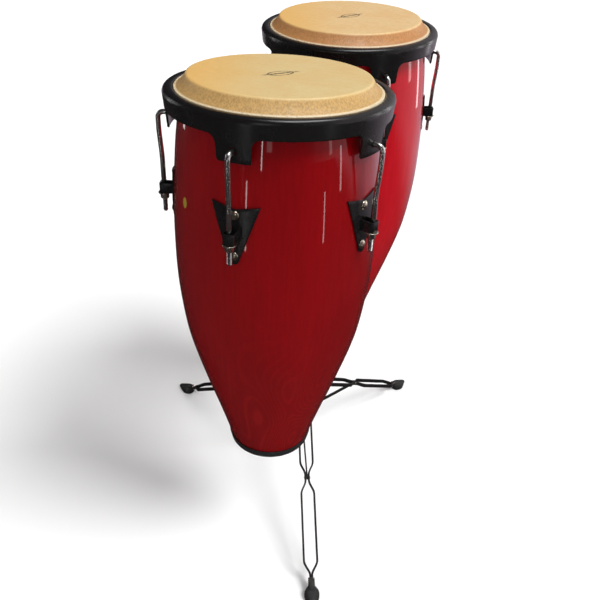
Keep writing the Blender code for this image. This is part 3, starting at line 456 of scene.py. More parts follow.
@dataclass(frozen=True)
class Metal(Finish):
    """Plated or bare metal with smudges."""

    smudge: float = 0.10

    def material(self) -> bpy.types.Material:
        """Builds the material."""
        material, tree, shader, where = self.start()
        marks = self.marks(tree, where, Effects.handling())
        shader.inputs["Metallic"].default_value = 1.0
        colour = tree.mix(tree.times(marks["Smudge"], 0.35), self.colour, toned(self.colour, 0.72))
        colour = tree.mix(tree.times(marks["Speck"], 0.30), colour, toned(self.colour, 0.45))
        tree.join(colour, shader, "Base Color")
        rough = tree.math("MULTIPLY_ADD", marks["Smudge"], self.smudge, self.roughness)
        tree.join(rough, shader, "Roughness")
        drawn = tree.noise(tree.stretched(where, (1.0, 1.0, 0.04)), 900.0, 2.0)
        self.bump(tree, shader, drawn, 0.06, 0.0004)
        return material


@dataclass(frozen=True)
class Enamel(Finish):
    """Black enamel or powder coat: fine orange peel, dust and slightly worn gloss."""

    dust: Colour = (0.10, 0.098, 0.095)
    peel: float = 0.10

    def material(self) -> bpy.types.Material:
        """Builds the material."""
        material, tree, shader, where = self.start()
        marks = self.marks(tree, where, Effects.handling())
        dust = tree.times(marks["Speck"], 0.06)
        colour = tree.mix(tree.times(marks["Smudge"], 0.4), self.colour,
                          tuple(part * 1.4 + 0.001 for part in self.colour))
        colour = tree.mix(dust, colour, self.dust)
        tree.join(colour, shader, "Base Color")
        rough = tree.math("MULTIPLY_ADD", marks["Smudge"], 0.05, self.roughness)
        tree.join(rough, shader, "Roughness")
        pebble = tree.noise(where, 620.0, 2.0, 0.55)
        self.bump(tree, shader, pebble, self.peel, 0.0005)
        return material


@dataclass(frozen=True)
class Rubber(Finish):
    """Moulded black rubber, dull, with scuffs."""

    scuff: Colour = (0.085, 0.080, 0.074)

    def material(self) -> bpy.types.Material:
        """Builds the material."""
        material, tree, shader, where = self.start()
        marks = self.marks(tree, where, Effects.handling())
        scuffed = tree.ramp(tree.noise(where, 85.0, 5.0, 0.7), 0.50, 0.72)
        colour = tree.mix(tree.times(scuffed, 0.5), self.colour, self.scuff)
        colour = tree.mix(tree.times(marks["Speck"], 0.3), colour, self.scuff)
        tree.join(colour, shader, "Base Color")
        rough = tree.ramp(scuffed, 0.0, 1.0, self.roughness, self.roughness + 0.15)
        tree.join(rough, shader, "Roughness")
        self.bump(tree, shader, tree.noise(where, 1500.0, 2.0), 0.35, 0.0004)
        return material


# ------------------------------------------------------------------------------- shapes


@dataclass
class Shape:
    """Points and faces, with a finish number for each face."""

    points: np.ndarray
    faces: list[tuple[int, ...]]
    finish: list[int]

    @classmethod
    def of(cls, points: Sequence[Sequence[float]], faces: Sequence[Sequence[int]], finish: int = 0) -> Shape:
        """A shape with one finish all over."""
        return cls(np.array(points, float).reshape(-1, 3), [tuple(f) for f in faces], [finish] * len(faces))

    def moved(self, matrix: Matrix) -> Shape:
        """A copy carried by a matrix."""
        array = np.array(matrix, float)
        return Shape(self.points @ array[:3, :3].T + array[:3, 3], list(self.faces), list(self.finish))

    def joined(self, *others: Shape) -> Shape:
        """This shape with others beside it, as one."""
        points, faces, finish = [self.points], list(self.faces), list(self.finish)
        start = len(self.points)
        for other in others:
            points.append(other.points)
            faces += [tuple(i + start for i in face) for face in other.faces]
            finish += other.finish
            start += len(other.points)
        return Shape(np.concatenate(points), faces, finish)

    def mesh(self, name: str) -> bpy.types.Mesh:
        """Builds a closed mesh whose faces point outwards."""
        mesh = bpy.data.meshes.new(name)
        mesh.from_pydata(self.points.tolist(), [], self.faces)
        mesh.polygons.foreach_set("material_index", self.finish)
        work = bmesh.new()
        work.from_mesh(mesh)
        bmesh.ops.remove_doubles(work, verts=work.verts, dist=1e-6)
        bmesh.ops.recalc_face_normals(work, faces=work.faces)
        work.to_mesh(mesh)
        work.free()
        return mesh


def grid_faces(rows: int, columns: int, wrap_rows: bool, wrap_columns: bool) -> list[tuple[int, ...]]:
    """Faces of a grid of points numbered along each row.

    Args:
        rows: number of rows.
        columns: number of columns.
        wrap_rows: whether the last row joins the first.
        wrap_columns: whether the last column joins the first.

    Returns:
        The faces, as four point numbers each.
    """
    faces = []
    for i in range(rows if wrap_rows else rows - 1):
        for j in range(columns if wrap_columns else columns - 1):
            k, m = (i + 1) % rows, (j + 1) % columns
            faces.append((i * columns + j, i * columns + m, k * columns + m, k * columns + j))
    return faces


def lathe(profile: Sequence[Point], segments: int, closed: bool = True, finish: int = 0) -> Shape:
    """Turns a profile about Z.

    Args:
        profile: (radius, height) points; a radius of 0 at either end is a pole.
        segments: sides round the axis.
        closed: whether the last point joins the first.
        finish: the finish number of its faces.

    Returns:
        The turned shape.
    """
    turns = np.linspace(0, FULL_TURN, segments, endpoint=False)
    ring = np.array(profile, float)
    points = np.stack([np.outer(ring[:, 0], np.cos(turns)), np.outer(ring[:, 0], np.sin(turns)),
                       np.repeat(ring[:, 1:2], segments, 1)], -1).reshape(-1, 3)
    return Shape.of(points, grid_faces(len(profile), segments, closed, True), finish)


def rounded_profile(corners: Sequence[Point], radius: float, steps: int = 3,
                    closed: bool = True) -> list[Point]:
    """Rounds the corners of a profile.

    Args:
        corners: the corner points.
        radius: radius of the rounding, less where a side is short.
        steps: points on each corner, less one.
        closed: whether the profile is a loop.

    Returns:
        The rounded profile.
    """
    out: list[Point] = []
    count = len(corners)
    for i, corner in enumerate(corners):
        if not closed and i in (0, count - 1):
            out.append(corner)
            continue
        here, before, after = (np.array(p, float) for p in (corner, corners[i - 1], corners[(i + 1) % count]))
        back, ahead = before - here, after - here
        reach = min(radius, 0.45 * np.linalg.norm(back), 0.45 * np.linalg.norm(ahead))
        start = here + back / np.linalg.norm(back) * reach
        end = here + ahead / np.linalg.norm(ahead) * reach
        for k in range(steps + 1):
            t = k / steps
            spot = start * (1 - t) ** 2 + here * 2 * t * (1 - t) + end * t**2
            out.append((float(spot[0]), float(spot[1])))
    return out


def sweep(path: np.ndarray, across: np.ndarray, sections: Sequence[np.ndarray], finish: int = 0) -> Shape:
    """Carries sections along a path whose bends all lie in planes that hold one fixed direction.

    Args:
        path: the path's points.
        across: the fixed direction, square to every bend.
        sections: for each path point, its section as (across, up) pairs.
        finish: the finish number.

    Returns:
        A tube with flat ends.
    """
    tangents = np.gradient(path, axis=0)
    tangents /= np.linalg.norm(tangents, axis=1)[:, None]
    ups = np.cross(tangents, across)
    ups /= np.linalg.norm(ups, axis=1)[:, None]
    sides = len(sections[0])
    rings = [p + s[:, :1] * across + s[:, 1:] * u for p, s, u in zip(path, sections, ups)]
    faces = grid_faces(len(rings), sides, False, True)
    last = (len(rings) - 1) * sides
    faces += [tuple(range(sides))[::-1], tuple(range(last, last + sides))]
    return Shape.of(np.concatenate(rings), faces, finish)


def circle_section(radius: float, sides: int = 16) -> np.ndarray:
    """Points of a round section."""
    turns = np.linspace(0, FULL_TURN, sides, endpoint=False)
    return np.stack([np.cos(turns), np.sin(turns)], 1) * radius


def prism(outline: Sequence[Point], low: float, high: float, finish: int = 0) -> Shape:
    """A flat outline in XY given a thickness along Z, with flat ends."""
    count = len(outline)
    points = [(x, y, z) for z in (low, high) for x, y in outline]
    faces = [(i, (i + 1) % count, count + (i + 1) % count, count + i) for i in range(count)]
    faces += [tuple(range(count))[::-1], tuple(range(count, 2 * count))]
    return Shape.of(points, faces, finish)


def dome(radius: float, height: float, skirt: float, segments: int = 20, finish: int = 0) -> Shape:
    """A domed head along +Z that sits on Z = 0, with a short skirt below it."""
    profile = [(0.0, height)]
    steps = 6
    for i in range(1, steps + 1):
        turn = math.pi / 2 * i / steps
        profile.append((radius * math.sin(turn), height * math.cos(turn)))
    profile += [(radius, -skirt), (0.0, -skirt)]
    return lathe(profile, segments, closed=False, finish=finish)


def hermite(stations: Sequence[Point], x: float) -> float:
    """Smooth curve through rising (x, y) stations, read at x."""
    xs = [s[0] for s in stations]
    x = min(max(x, xs[0]), xs[-1])
    i = min(max(int(np.searchsorted(xs, x, "right")) - 1, 0), len(xs) - 2)

    def slope(k: int) -> float:
        """Slope of the curve at station k."""
        low, high = max(k - 1, 0), min(k + 1, len(xs) - 1)
        return (stations[high][1] - stations[low][1]) / (xs[high] - xs[low])

    (x0, y0), (x1, y1) = stations[i], stations[i + 1]
    step = x1 - x0
    t = (x - x0) / step
    return ((2 * t**3 - 3 * t**2 + 1) * y0 + (t**3 - 2 * t**2 + t) * step * slope(i)
            + (3 * t**2 - 2 * t**3) * y1 + (t**3 - t**2) * step * slope(i + 1))


# ------------------------------------------------------------------------------- repeats


def in_scene(name: str, data: bpy.types.ID) -> bpy.types.Object:
    """Makes an object of a mesh, light or camera and puts it in the scene."""
    made = bpy.data.objects.new(name, data)
    bpy.context.scene.collection.objects.link(made)
    return made


def baked(obj: bpy.types.Object) -> bpy.types.Mesh:
    """The object's evaluated mesh as a plain mesh of its own."""
    bpy.context.view_layer.update()
    graph = bpy.context.evaluated_depsgraph_get()
    return bpy.data.meshes.new_from_object(obj.evaluated_get(graph))


class Repeats:
    """Geometry Nodes trees that repeat a shape."""

    _made: dict[str, bpy.types.NodeTree] = {}

    @classmethod
    def tree(cls, name: str, inputs: Sequence[tuple[str, str]], fill: Callable[[Tree, Any], Socket]
             ) -> bpy.types.NodeTree:
        """Makes a tree that ends in Realize Instances and Set Material, or gives the one that exists.

        Args:
            name: the tree's name.
            inputs: name and socket type of each size, after the geometry.
            fill: builds the instances from the group's inputs and returns their socket.

        Returns:
            The tree.
        """
        if name in cls._made:
            return cls._made[name]
        group = bpy.data.node_groups.new(name, "GeometryNodeTree")
        group.interface.new_socket(name="Geometry", in_out="INPUT", socket_type="NodeSocketGeometry")
        for label, kind in inputs:
            group.interface.new_socket(name=label, in_out="INPUT", socket_type=kind)
        group.interface.new_socket(name="Material", in_out="INPUT", socket_type="NodeSocketMaterial")
        group.interface.new_socket(name="Geometry", in_out="OUTPUT", socket_type="NodeSocketGeometry")
        tree = Tree(group)
        given = tree.add("NodeGroupInput").outputs
        real = tree.add("GeometryNodeRealizeInstances", {0: fill(tree, given)}).outputs[0]
        dressed = tree.add("GeometryNodeSetMaterial", {"Geometry": real, "Material": given["Material"]})
        tree.add("NodeGroupOutput", {0: dressed.outputs[0]})
        cls._made[name] = group
        return group

    @classmethod
    def ring(cls) -> bpy.types.NodeTree:
        """Copies of the given mesh, spaced evenly round Z."""

        def fill(tree: Tree, given: Any) -> Socket:
            """Builds the turned copies from the tree's inputs."""
            points = tree.add("GeometryNodePoints", {"Count": given["Count"]}).outputs[0]
            index = tree.add("GeometryNodeInputIndex").outputs[0]
            share = tree.math("DIVIDE", index, given["Count"])
            turn = tree.add("ShaderNodeCombineXYZ", {"Z": tree.times(share, FULL_TURN)}).outputs[0]
            rotation = tree.add("FunctionNodeEulerToRotation", {0: turn}).outputs[0]
            return tree.add("GeometryNodeInstanceOnPoints", {
                "Points": points, "Instance": given["Geometry"], "Rotation": rotation}).outputs[0]

        return cls.tree("ring_of_copies", (("Count", "NodeSocketInt"),), fill)

    @classmethod
    def stitches(cls) -> bpy.types.NodeTree:
        """Small slanted stitches round a circle about Z."""

        def fill(tree: Tree, given: Any) -> Socket:
            """Builds the stitches from the tree's inputs."""
            circle = tree.add("GeometryNodeMeshCircle", {
                "Vertices": given["Count"], "Radius": given["Radius"]})
            seat = tree.add("ShaderNodeCombineXYZ", {"Z": given["Height"]}).outputs[0]
            raised = tree.add("GeometryNodeTransform", {"Geometry": circle.outputs[0], "Translation": seat})
            bead = tree.add("GeometryNodeMeshUVSphere", {"Segments": 6, "Rings": 4, "Radius": 1.0})
            index = tree.add("GeometryNodeInputIndex").outputs[0]
            share = tree.math("DIVIDE", index, given["Count"])
            slant = tree.add("FunctionNodeRandomValue", {"Seed": given["Seed"]}, data_type="FLOAT")
            slant.inputs[2].default_value, slant.inputs[3].default_value = 0.35, 0.75
            turn = tree.add("ShaderNodeCombineXYZ", {
                "X": slant.outputs[1], "Z": tree.times(share, FULL_TURN)}).outputs[0]
            rotation = tree.add("FunctionNodeEulerToRotation", {0: turn}).outputs[0]
            size = tree.add("FunctionNodeRandomValue", {"Seed": given["Seed"]}, data_type="FLOAT")
            size.inputs[2].default_value, size.inputs[3].default_value = 0.75, 1.2
            scale = tree.add("ShaderNodeCombineXYZ", {
                "X": given["Thickness"], "Y": tree.times(given["Length"], size.outputs[1]),
                "Z": given["Thickness"]}).outputs[0]
            return tree.add("GeometryNodeInstanceOnPoints", {
                "Points": raised.outputs[0], "Instance": bead.outputs[0], "Rotation": rotation,
                "Scale": scale}).outputs[0]

        sizes = (("Count", "NodeSocketInt"), ("Radius", "NodeSocketFloat"), ("Height", "NodeSocketFloat"),
                 ("Length", "NodeSocketFloat"), ("Thickness", "NodeSocketFloat"), ("Seed", "NodeSocketInt"))
        return cls.tree("stitch_ring", sizes, fill)

    @staticmethod
    def made(mesh: bpy.types.Mesh, tree: bpy.types.NodeTree, values: dict[str, Any]) -> bpy.types.Mesh:
        """Runs a tree on a mesh.

        Args:
            mesh: the geometry that goes in.
            tree: the Geometry Nodes tree.
            values: a value for each named input.

        Returns:
            The result as a plain mesh.
        """
        holder = in_scene("repeat_source", mesh)
        modifier = holder.modifiers.new("repeat", "NODES")
        modifier.node_group = tree
        for item in tree.interface.items_tree:
            if item.in_out == "INPUT" and item.name in values:
                modifier[item.identifier] = values[item.name]
        result = baked(holder)
        bpy.data.objects.remove(holder)
        return result


def worked(mesh: bpy.types.Mesh, kind: str, **settings: Any) -> bpy.types.Mesh:
    """Gives a mesh one modifier.

    Args:
        mesh: the mesh to work on; it is left as it was.
        kind: the modifier's Blender type.
        settings: properties of the modifier.

    Returns:
        The result as a plain mesh.
    """
    holder = in_scene("blank", mesh)
    modifier = holder.modifiers.new("work", kind)
    for name, value in settings.items():
        setattr(modifier, name, value)
    result = baked(holder)
    bpy.data.objects.remove(holder)
    return result


def bevelled(mesh: bpy.types.Mesh, width: float) -> bpy.types.Mesh:
    """A copy of a mesh with its sharp edges rounded by a width."""
    return worked(mesh, "BEVEL", width=width, segments=BEVEL_FACES, limit_method="ANGLE",
                  angle_limit=BEVEL_ANGLE)


# ------------------------------------------------------------------------------- pieces


@dataclass(frozen=True)
class Seat:
    """A sub-assembly's own frame and the CAD body that it rides on."""

    matrix: Matrix
    body: str

    def place(self, name: str, mesh: bpy.types.Mesh, slot: Slot, finishes: Sequence[bpy.types.Material],
              replaces: Sequence[str] = ()) -> bpy.types.Object:
        """Makes a finished piece of a mesh that is in this frame.

        Args:
            name: the piece's name.
            mesh: its mesh, in this frame.
            slot: the record's finish that it takes; not used.
            finishes: its materials, in the order of its finish numbers.
            replaces: the CAD nodes that it stands for.

        Returns:
            The piece, at the origin and riding on its body.
        """
        local = np.empty(len(mesh.vertices) * 3, np.float32)
        mesh.vertices.foreach_get("co", local)
        attribute = mesh.attributes.new(LOCAL_POINT, "FLOAT_VECTOR", "POINT")
        attribute.data.foreach_set("vector", local)
        mesh.transform(self.matrix)
        mesh.materials.clear()
        for finish in finishes:
            mesh.materials.append(finish)
        mesh.shade_smooth()
        mesh.set_sharp_from_angle(angle=SMOOTH_ANGLE)
        mesh.name = name
        piece = in_scene(name, mesh)
        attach(piece, self.body)
        if replaces:
            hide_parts(*replaces)
        LOG.info("%s rides on %s: %d faces", name, self.body, len(mesh.polygons))
        return piece


def rounded_node(frame: dict[str, Any], node: str, width: float) -> bpy.types.Mesh:
    """A copy of a CAD node's mesh, merged, with its flat faces joined and its edges rounded.

    Args:
        frame: the loaded frame.
        node: the CAD node's name.
        width: width of the rounding.

    Returns:
        The rounded copy, in the shared frame.
    """
    mesh = frame["nodes"][node].data.copy()
    work = bmesh.new()
    work.from_mesh(mesh)
    bmesh.ops.remove_doubles(work, verts=work.verts, dist=MERGE)
    bmesh.ops.dissolve_limit(work, angle_limit=FLAT_ANGLE, verts=work.verts, edges=work.edges)
    work.to_mesh(mesh)
    work.free()
    return bevelled(mesh, width)


@dataclass
class Paints:
    """Every material of the pair, made once."""

    lacquer: dict[Side, bpy.types.Material]
    hide: dict[Side, bpy.types.Material]
    raw: bpy.types.Material
    black: bpy.types.Material
    stand: bpy.types.Material
    chrome: bpy.types.Material
    nickel: bpy.types.Material
    steel: bpy.types.Material
    rubber: bpy.types.Material
    thread: bpy.types.Material
    raw_edge: bpy.types.Material

    @classmethod
    def mixed(cls) -> Paints:
        """Builds the materials."""
        badge = Oval((-0.1680, -0.0015, -0.1744), (0.0200, 0.0058, 0.0088), (0.30, 0.22, 0.02))
        stamp = Oval((0.0, 0.0, 0.0), (0.024, 0.013, 0.010), (0.035, 0.030, 0.022))
        return cls(
            lacquer={
                Side.FRONT: Lacquer("red_lacquer_front", (0.215, 0.0004, 0.0022), 0.40,
                                    badge=badge).material(),
                Side.BACK: Lacquer("red_lacquer_back", (0.47, 0.0030, 0.0100), 0.40,
                                   deep=(0.20, 0.0008, 0.0030)).material()},
            hide={
                Side.FRONT: Hide("hide_front", (0.70, 0.53, 0.25), 0.46, (0.60, 0.35, 0.115),
                                 (0.68, 0.43, 0.15), stamp, painted_light_side=(-0.82, 0.57, 0.0)).material(),
                Side.BACK: Hide("hide_back", (0.76, 0.53, 0.26), 0.46, (0.53, 0.215, 0.062),
                                (0.70, 0.40, 0.15), stamp, painted_light_side=(0.79, -0.61, 0.0)).material()},
            raw=RawWood("raw_wood", (0.50, 0.31, 0.16), 0.75).material(),
            black=Enamel("black_powder_coat", (0.0065, 0.0058, 0.0058), 0.23).material(),
            stand=Enamel("stand_enamel", (0.010, 0.009, 0.009), 0.28, peel=0.08).material(),
            chrome=Metal("chrome_plate", (0.88, 0.86, 0.83), 0.19).material(),
            nickel=Metal("nickel_bolt", (0.84, 0.76, 0.60), 0.24).material(),
            steel=Metal("drawn_steel", (0.50, 0.50, 0.49), 0.34).material(),
            rubber=Rubber("black_rubber", (0.016, 0.016, 0.016), 0.62).material(),
            thread=Metal("threaded_steel", (0.80, 0.73, 0.62), 0.25).material(),
            raw_edge=Hide("raw_hide_edge", (0.84, 0.74, 0.52), 0.60, (0.80, 0.66, 0.42),
                          (0.72, 0.56, 0.33)).material(),
        )


# ------------------------------------------------------------------------------- drum


@dataclass
class Lug:
    """Sizes of one tension lug: hook, side plate, strap and nut."""

    hole: float = 0.0670
    rod: float = 0.0040
    rod_from_axis: float = 0.1866
    bulge: float = 0.0026
    bend: float = 0.0090
    bend_foot: float = 0.0200
    sweep: float = 0.0600
    length: float = 0.1670
    thread_length: float = 0.0480
    pitch: float = 0.00125
    thread_depth: float = 0.00045
    inner_end: float = 0.1653
    plate: float = 0.0025
    plate_width: float = 0.0760
    plate_top: float = 0.0800
    plate_notch: float = 0.0070
    plate_tip: float = 0.1730
    plate_sides: float = 0.93  # share of the plate's height that its straight sides take
    least_width: float = 0.0004
    tip_radius: float = 0.0080
    strap_top: float = 0.1160
    strap_height: float = 0.0170
    strap_width: float = 0.0180
    strap_gauge: float = 0.0025
    strap_corner: float = 0.0042
    play: float = 0.0004
    bolt_radius: float = 0.0073
    bolt_height: float = 0.0038
    bolt_skirt: float = 0.0012
    top_bolt: float = 0.0955
    bottom_bolt: float = 0.1600
    across_flats: float = 0.0127
    nut_height: float = 0.0090
    washer_radius: float = 0.0105
    washer: float = 0.0018

    def hook(self) -> Shape:
        """A hook at the first lug: out of the ear, over, back in a sweep and down to its thread."""
        top, straight = -self.hole, self.rod_from_axis
        out = straight + self.bulge
        centre = out - self.bend
        path = [(self.inner_end, top), (centre - 0.002, top)]
        for turn in np.linspace(0, math.pi / 2, 10):
            path.append((centre + self.bend * math.sin(turn), top - self.bend * (1 - math.cos(turn))))
        for share in np.linspace(0, 1, 18):
            ease = share * share * (3 - 2 * share)
            path.append((out - self.bulge * ease, top - self.bend_foot - self.sweep * share))
        end = top - self.length
        start = end + self.thread_length
        path.append((straight, start))
        radii = [self.rod] * len(path)
        for k in range(1, int(self.thread_length / self.pitch) * 2):
            path.append((straight, start - k * self.pitch / 2))
            radii.append(self.rod - (self.thread_depth if k % 2 else 0.0))
        path.append((straight, end))
        radii.append(self.rod - 2 * self.thread_depth)
        points = np.array([(r, 0, z) for r, z in path])
        across = np.array((0.0, 1.0, 0.0))
        return sweep(points, across, [circle_section(r, 14) for r in radii])

    def side_plate(self, radius: Callable[[float], float], clearance: float) -> Shape:
        """A side plate at the first lug, curved to the shell.

        Args:
            radius: the shell's outer radius at a distance below the head.
            clearance: gap between the plate and the shell.

        Returns:
            The plate, closed, with square edges.
        """
        top, tip, half = self.hole + self.plate_top, self.hole + self.plate_tip, self.plate_width / 2
        across = np.linspace(-1, 1, 17)
        sides, nose = self.plate_sides, 1 - self.plate_sides
        rounding = sides + nose * np.sin(np.linspace(0.2, math.pi / 2, 7))
        down = np.concatenate([np.linspace(0, sides, 20), rounding])
        rows = []
        for b in down:
            row = []
            for a in across:
                head = top + self.plate_notch * (1 - abs(a))
                drop = head + (tip - head) * b
                width = half + (self.tip_radius - half) * min(1.0, b / sides)
                if b > sides:
                    width = self.tip_radius * math.sqrt(max(0.0, 1 - ((b - sides) / nose) ** 2))
                row.append((a * max(width, self.least_width), drop))
            rows.append(row)
        layers = []
        for depth in (0.0, self.plate):
            for row in rows:
                for u, drop in row:
                    r = radius(drop) + clearance + depth
                    layers.append((r * math.cos(u / r), r * math.sin(u / r), -drop))
        n, m = len(rows), len(across)
        faces = []
        for base in (0, n * m):
            faces += [tuple(base + i for i in f) for f in grid_faces(n, m, False, False)]
        border = ([(0, j) for j in range(m)] + [(i, m - 1) for i in range(1, n)]
                  + [(n - 1, j) for j in range(m - 2, -1, -1)] + [(i, 0) for i in range(n - 2, 0, -1)])
        for (i, j), (k, l) in zip(border, border[1:] + border[:1]):
            faces.append((i * m + j, k * m + l, n * m + k * m + l, n * m + i * m + j))
        return Shape.of(layers, faces)

    def strap(self, radius: Callable[[float], float]) -> Shape:
        """The strap that holds the hook's end: a squared loop, open above and below."""
        seat = radius(self.hole + self.strap_top) + self.plate * 0.5
        half, gauge = self.strap_width / 2, self.strap_gauge
        out = self.rod_from_axis + self.rod + self.play + gauge
        outer = [(seat, half), (out, half), (out, -half), (seat, -half)]
        inner = [(seat, gauge - half), (out - gauge, gauge - half), (out - gauge, half - gauge),
                 (seat, half - gauge)]
        outer = rounded_profile(outer, self.strap_corner, 4, closed=False)
        inner = rounded_profile(inner, self.strap_corner - 0.8 * gauge, 4, closed=False)
        top = -self.hole - self.strap_top
        return prism([*outer, *inner], top - self.strap_height, top)

    def bolt(self, radius: Callable[[float], float], drop: float, turn: float = 0.0) -> Shape:
        """A domed bolt head on a plate, at a distance below the ear's hole and an angle round the shell."""
        at = radius(self.hole + drop) + self.plate
        tilt = Matrix.Translation((at * math.cos(turn), at * math.sin(turn), -self.hole - drop))
        aim = Matrix.Rotation(turn, 4, "Z") @ Matrix.Rotation(math.pi / 2, 4, "Y")
        return dome(self.bolt_radius, self.bolt_height, self.bolt_skirt).moved(tilt @ aim)

    def nut(self) -> Shape:
        """A chamfered hexagon nut centred at the origin, with its washer above."""
        half, apothem, sides = self.nut_height / 2, self.across_flats / 2, 48
        turns = np.linspace(0, FULL_TURN, sides, endpoint=False)
        hexagon = apothem / np.cos((turns + math.pi / 6) % (math.pi / 3) - math.pi / 6)
        bore = np.full(sides, self.rod + self.play)
        narrow, wide = np.minimum(hexagon, apothem * 0.98), np.minimum(hexagon, apothem * 1.08)
        rows = [(bore, half), (narrow, half), (wide, half - 0.0006), (hexagon, half - 0.0014),
                (hexagon, 0.0014 - half), (wide, 0.0006 - half), (narrow, -half), (bore, -half)]
        points = [(r[k] * math.cos(t), r[k] * math.sin(t), z) for r, z in rows for k, t in enumerate(turns)]
        body = Shape.of(points, grid_faces(len(rows), sides, True, True))
        low, high, inner, outer = half + 0.00005, half + self.washer, bore[0], self.washer_radius
        ring = rounded_profile([(inner, low), (inner, high), (outer, high), (outer, low)], 0.0007)
        return body.joined(lathe(ring, 40))


@dataclass
class Drum:
    """One conga: shell, base ring, head, rim, lugs and bracket."""

    side: Side
    matrix: Matrix
    frame: dict[str, Any]
    paints: Paints
    bracket_turn: float
    lug: Lug
    bearing_radius: float = 0.1397
    length: float = 0.7190
    wall: float = 0.0115
    outline: tuple[Point, ...] = (
        (0.032, 0.1487), (0.062, 0.1557), (0.100, 0.1608), (0.150, 0.1652), (0.210, 0.1689),
        (0.270, 0.1700), (0.330, 0.1688), (0.390, 0.1634), (0.450, 0.1542), (0.540, 0.1300),
        (0.630, 0.1025))
    foot_radius: float = 0.0762
    ring_height: float = 0.0125
    ring_wall: float = 0.0028
    ring_floor: float = 0.0030
    skin: float = 0.0020
    clearance: float = 0.0003
    collar_radius: float = 0.1597
    collar_drop: float = 0.0214
    collar_hollow: float = 0.0009
    crease: float = 0.0048
    tuck: float = 0.0347
    hem: float = 0.0053
    hem_waver: float = 0.00020
    rim_radius: float = 0.1767
    rim_top: float = 0.0186
    rim_wall: float = 0.0034
    wall_bottom: float = 0.0480
    wall_taper: float = 0.0022
    under: float = 0.0271
    ear_bottom: float = 0.0845
    ear_lean: float = 0.0050
    ear_width: float = 0.0540
    ear_flare: float = 0.0130
    ear_corner: float = 0.0040
    shoulder: float = 0.0150
    bracket_middle: float = 0.2401
    bracket_spread: float = 0.0198
    bracket_rows: Point = (-0.0370, 0.0335)  # its bolts' distances below its middle
    stitch_count: int = 150
    segments: int = 180
    stave_count: int = 30
    stave_flat: float = 0.00093  # share of the radius that each stave's face is flatter

    @property
    def name(self) -> str:
        """The drum's prefix in node and body names."""
        return self.side.value

    @property
    def drum_seat(self) -> Seat:
        """Frame of the pieces fixed to the shell."""
        return Seat(self.matrix, f"{self.name}_drum")

    @property
    def head_seat(self) -> Seat:
        """Frame of the pieces that move with the head."""
        return Seat(self.matrix, f"{self.name}_head")

    def radius(self, drop: float) -> float:
        """The shell's outer radius at a distance below the head."""
        top = (self.skin + self.clearance, self.bearing_radius - self.skin)
        return hermite([top, *self.outline, (self.length, self.foot_radius)], drop)

    def build(self) -> None:
        """Builds every piece of the drum."""
        self.shell()
        self.base_ring()
        self.head()
        self.rim()
        self.lugs()
        self.bracket()

    def shell(self) -> None:
        """The turned shell, lacquered outside and raw inside."""
        top, edge = self.skin + self.clearance, self.bearing_radius - self.skin
        outer = [(edge - 0.0052, top), (edge - 0.0026, top + 0.0005), (edge - 0.0008, top + 0.0019)]
        outer += [(self.radius(s), s) for s in np.linspace(top + 0.0045, self.length - 0.0012, 74)]
        outer.append((self.foot_radius - 0.0010, self.length))
        inner = [(self.foot_radius - self.wall, self.length)]
        inner += [(self.radius(s) - self.wall, s) for s in np.linspace(self.length - 0.010, 0.040, 26)]
        inner += [(edge - self.wall, top + 0.010)]
        shape = lathe([(r, -s) for r, s in outer + inner], self.segments)
        lacquered = len(outer) * self.segments
        shape.finish = [0 if i < lacquered else 1 for i in range(len(shape.faces))]
        outside = np.arange(len(shape.points)) < lacquered
        turns = np.arctan2(shape.points[:, 1], shape.points[:, 0])
        flat = 1 - self.stave_flat * (1 - np.abs(np.cos(turns * self.stave_count / 2)))
        shape.points[outside, :2] *= flat[outside, None]
        self.drum_seat.place(f"{self.name}_turned_shell", shape.mesh("shell"), Slot.LACQUER,
                             (self.paints.lacquer[self.side], self.paints.raw), (f"{self.name}_shell",))

    def base_ring(self) -> None:
        """The moulded ring round the foot, with a rolled edge."""
        top = self.length - self.ring_height
        under = self.length + self.clearance
        floor, foot, skirt = under + self.ring_floor, self.foot_radius, self.radius(top)
        corners = [
            (skirt + self.clearance, -top), (skirt + self.ring_wall, -top), (foot + self.ring_wall, -floor),
            (foot - self.wall, -floor), (foot - self.wall, -under), (foot + self.clearance, -under)]
        shape = lathe(rounded_profile(corners, 0.0013, 4), 120)
        self.drum_seat.place(f"{self.name}_moulded_ring", shape.mesh("ring"), Slot.RUBBER,
                             (self.paints.rubber,), (f"{self.name}_base_ring",))

    def skin_profile(self) -> list[Point]:
        """Section of the hide: flat, a rounded crease, the collar, a rolled hem and the tuck."""
        bend, edge, skin = self.crease, self.collar_radius, self.skin
        slope = math.atan2(self.collar_drop, edge - self.bearing_radius)
        start = self.bearing_radius - bend * math.tan(slope / 2)
        points = [(r, 0.0) for r in (0.0, 0.02, 0.045, 0.07, 0.09, 0.105, 0.118, 0.128, 0.134)]
        for turn in np.linspace(0, slope, 7):
            points.append((start + bend * math.sin(turn), -bend * (1 - math.cos(turn))))
        foot = (edge - 0.0016, -self.collar_drop + 0.0012)
        first = points[-1]
        for share in np.linspace(0.08, 1, 12):
            hollow = self.collar_hollow * math.sin(math.pi * share)
            points.append((first[0] + (foot[0] - first[0]) * share - hollow,
                           first[1] + (foot[1] - first[1]) * share - hollow))
        points += [(edge - 0.0013, -0.0191), (edge - 0.0006, -0.0188), (edge - 0.0001, -0.0193),
                   (edge, -0.0208), (edge, -self.tuck), (edge + self.hem, -self.tuck),
                   (edge + self.hem, -self.tuck - skin),
                   (edge - skin, -self.tuck - skin), (edge - skin, -self.collar_drop - 0.0020),
                   (self.bearing_radius - skin, -skin - 0.0006), (0.0, -skin)]
        return points

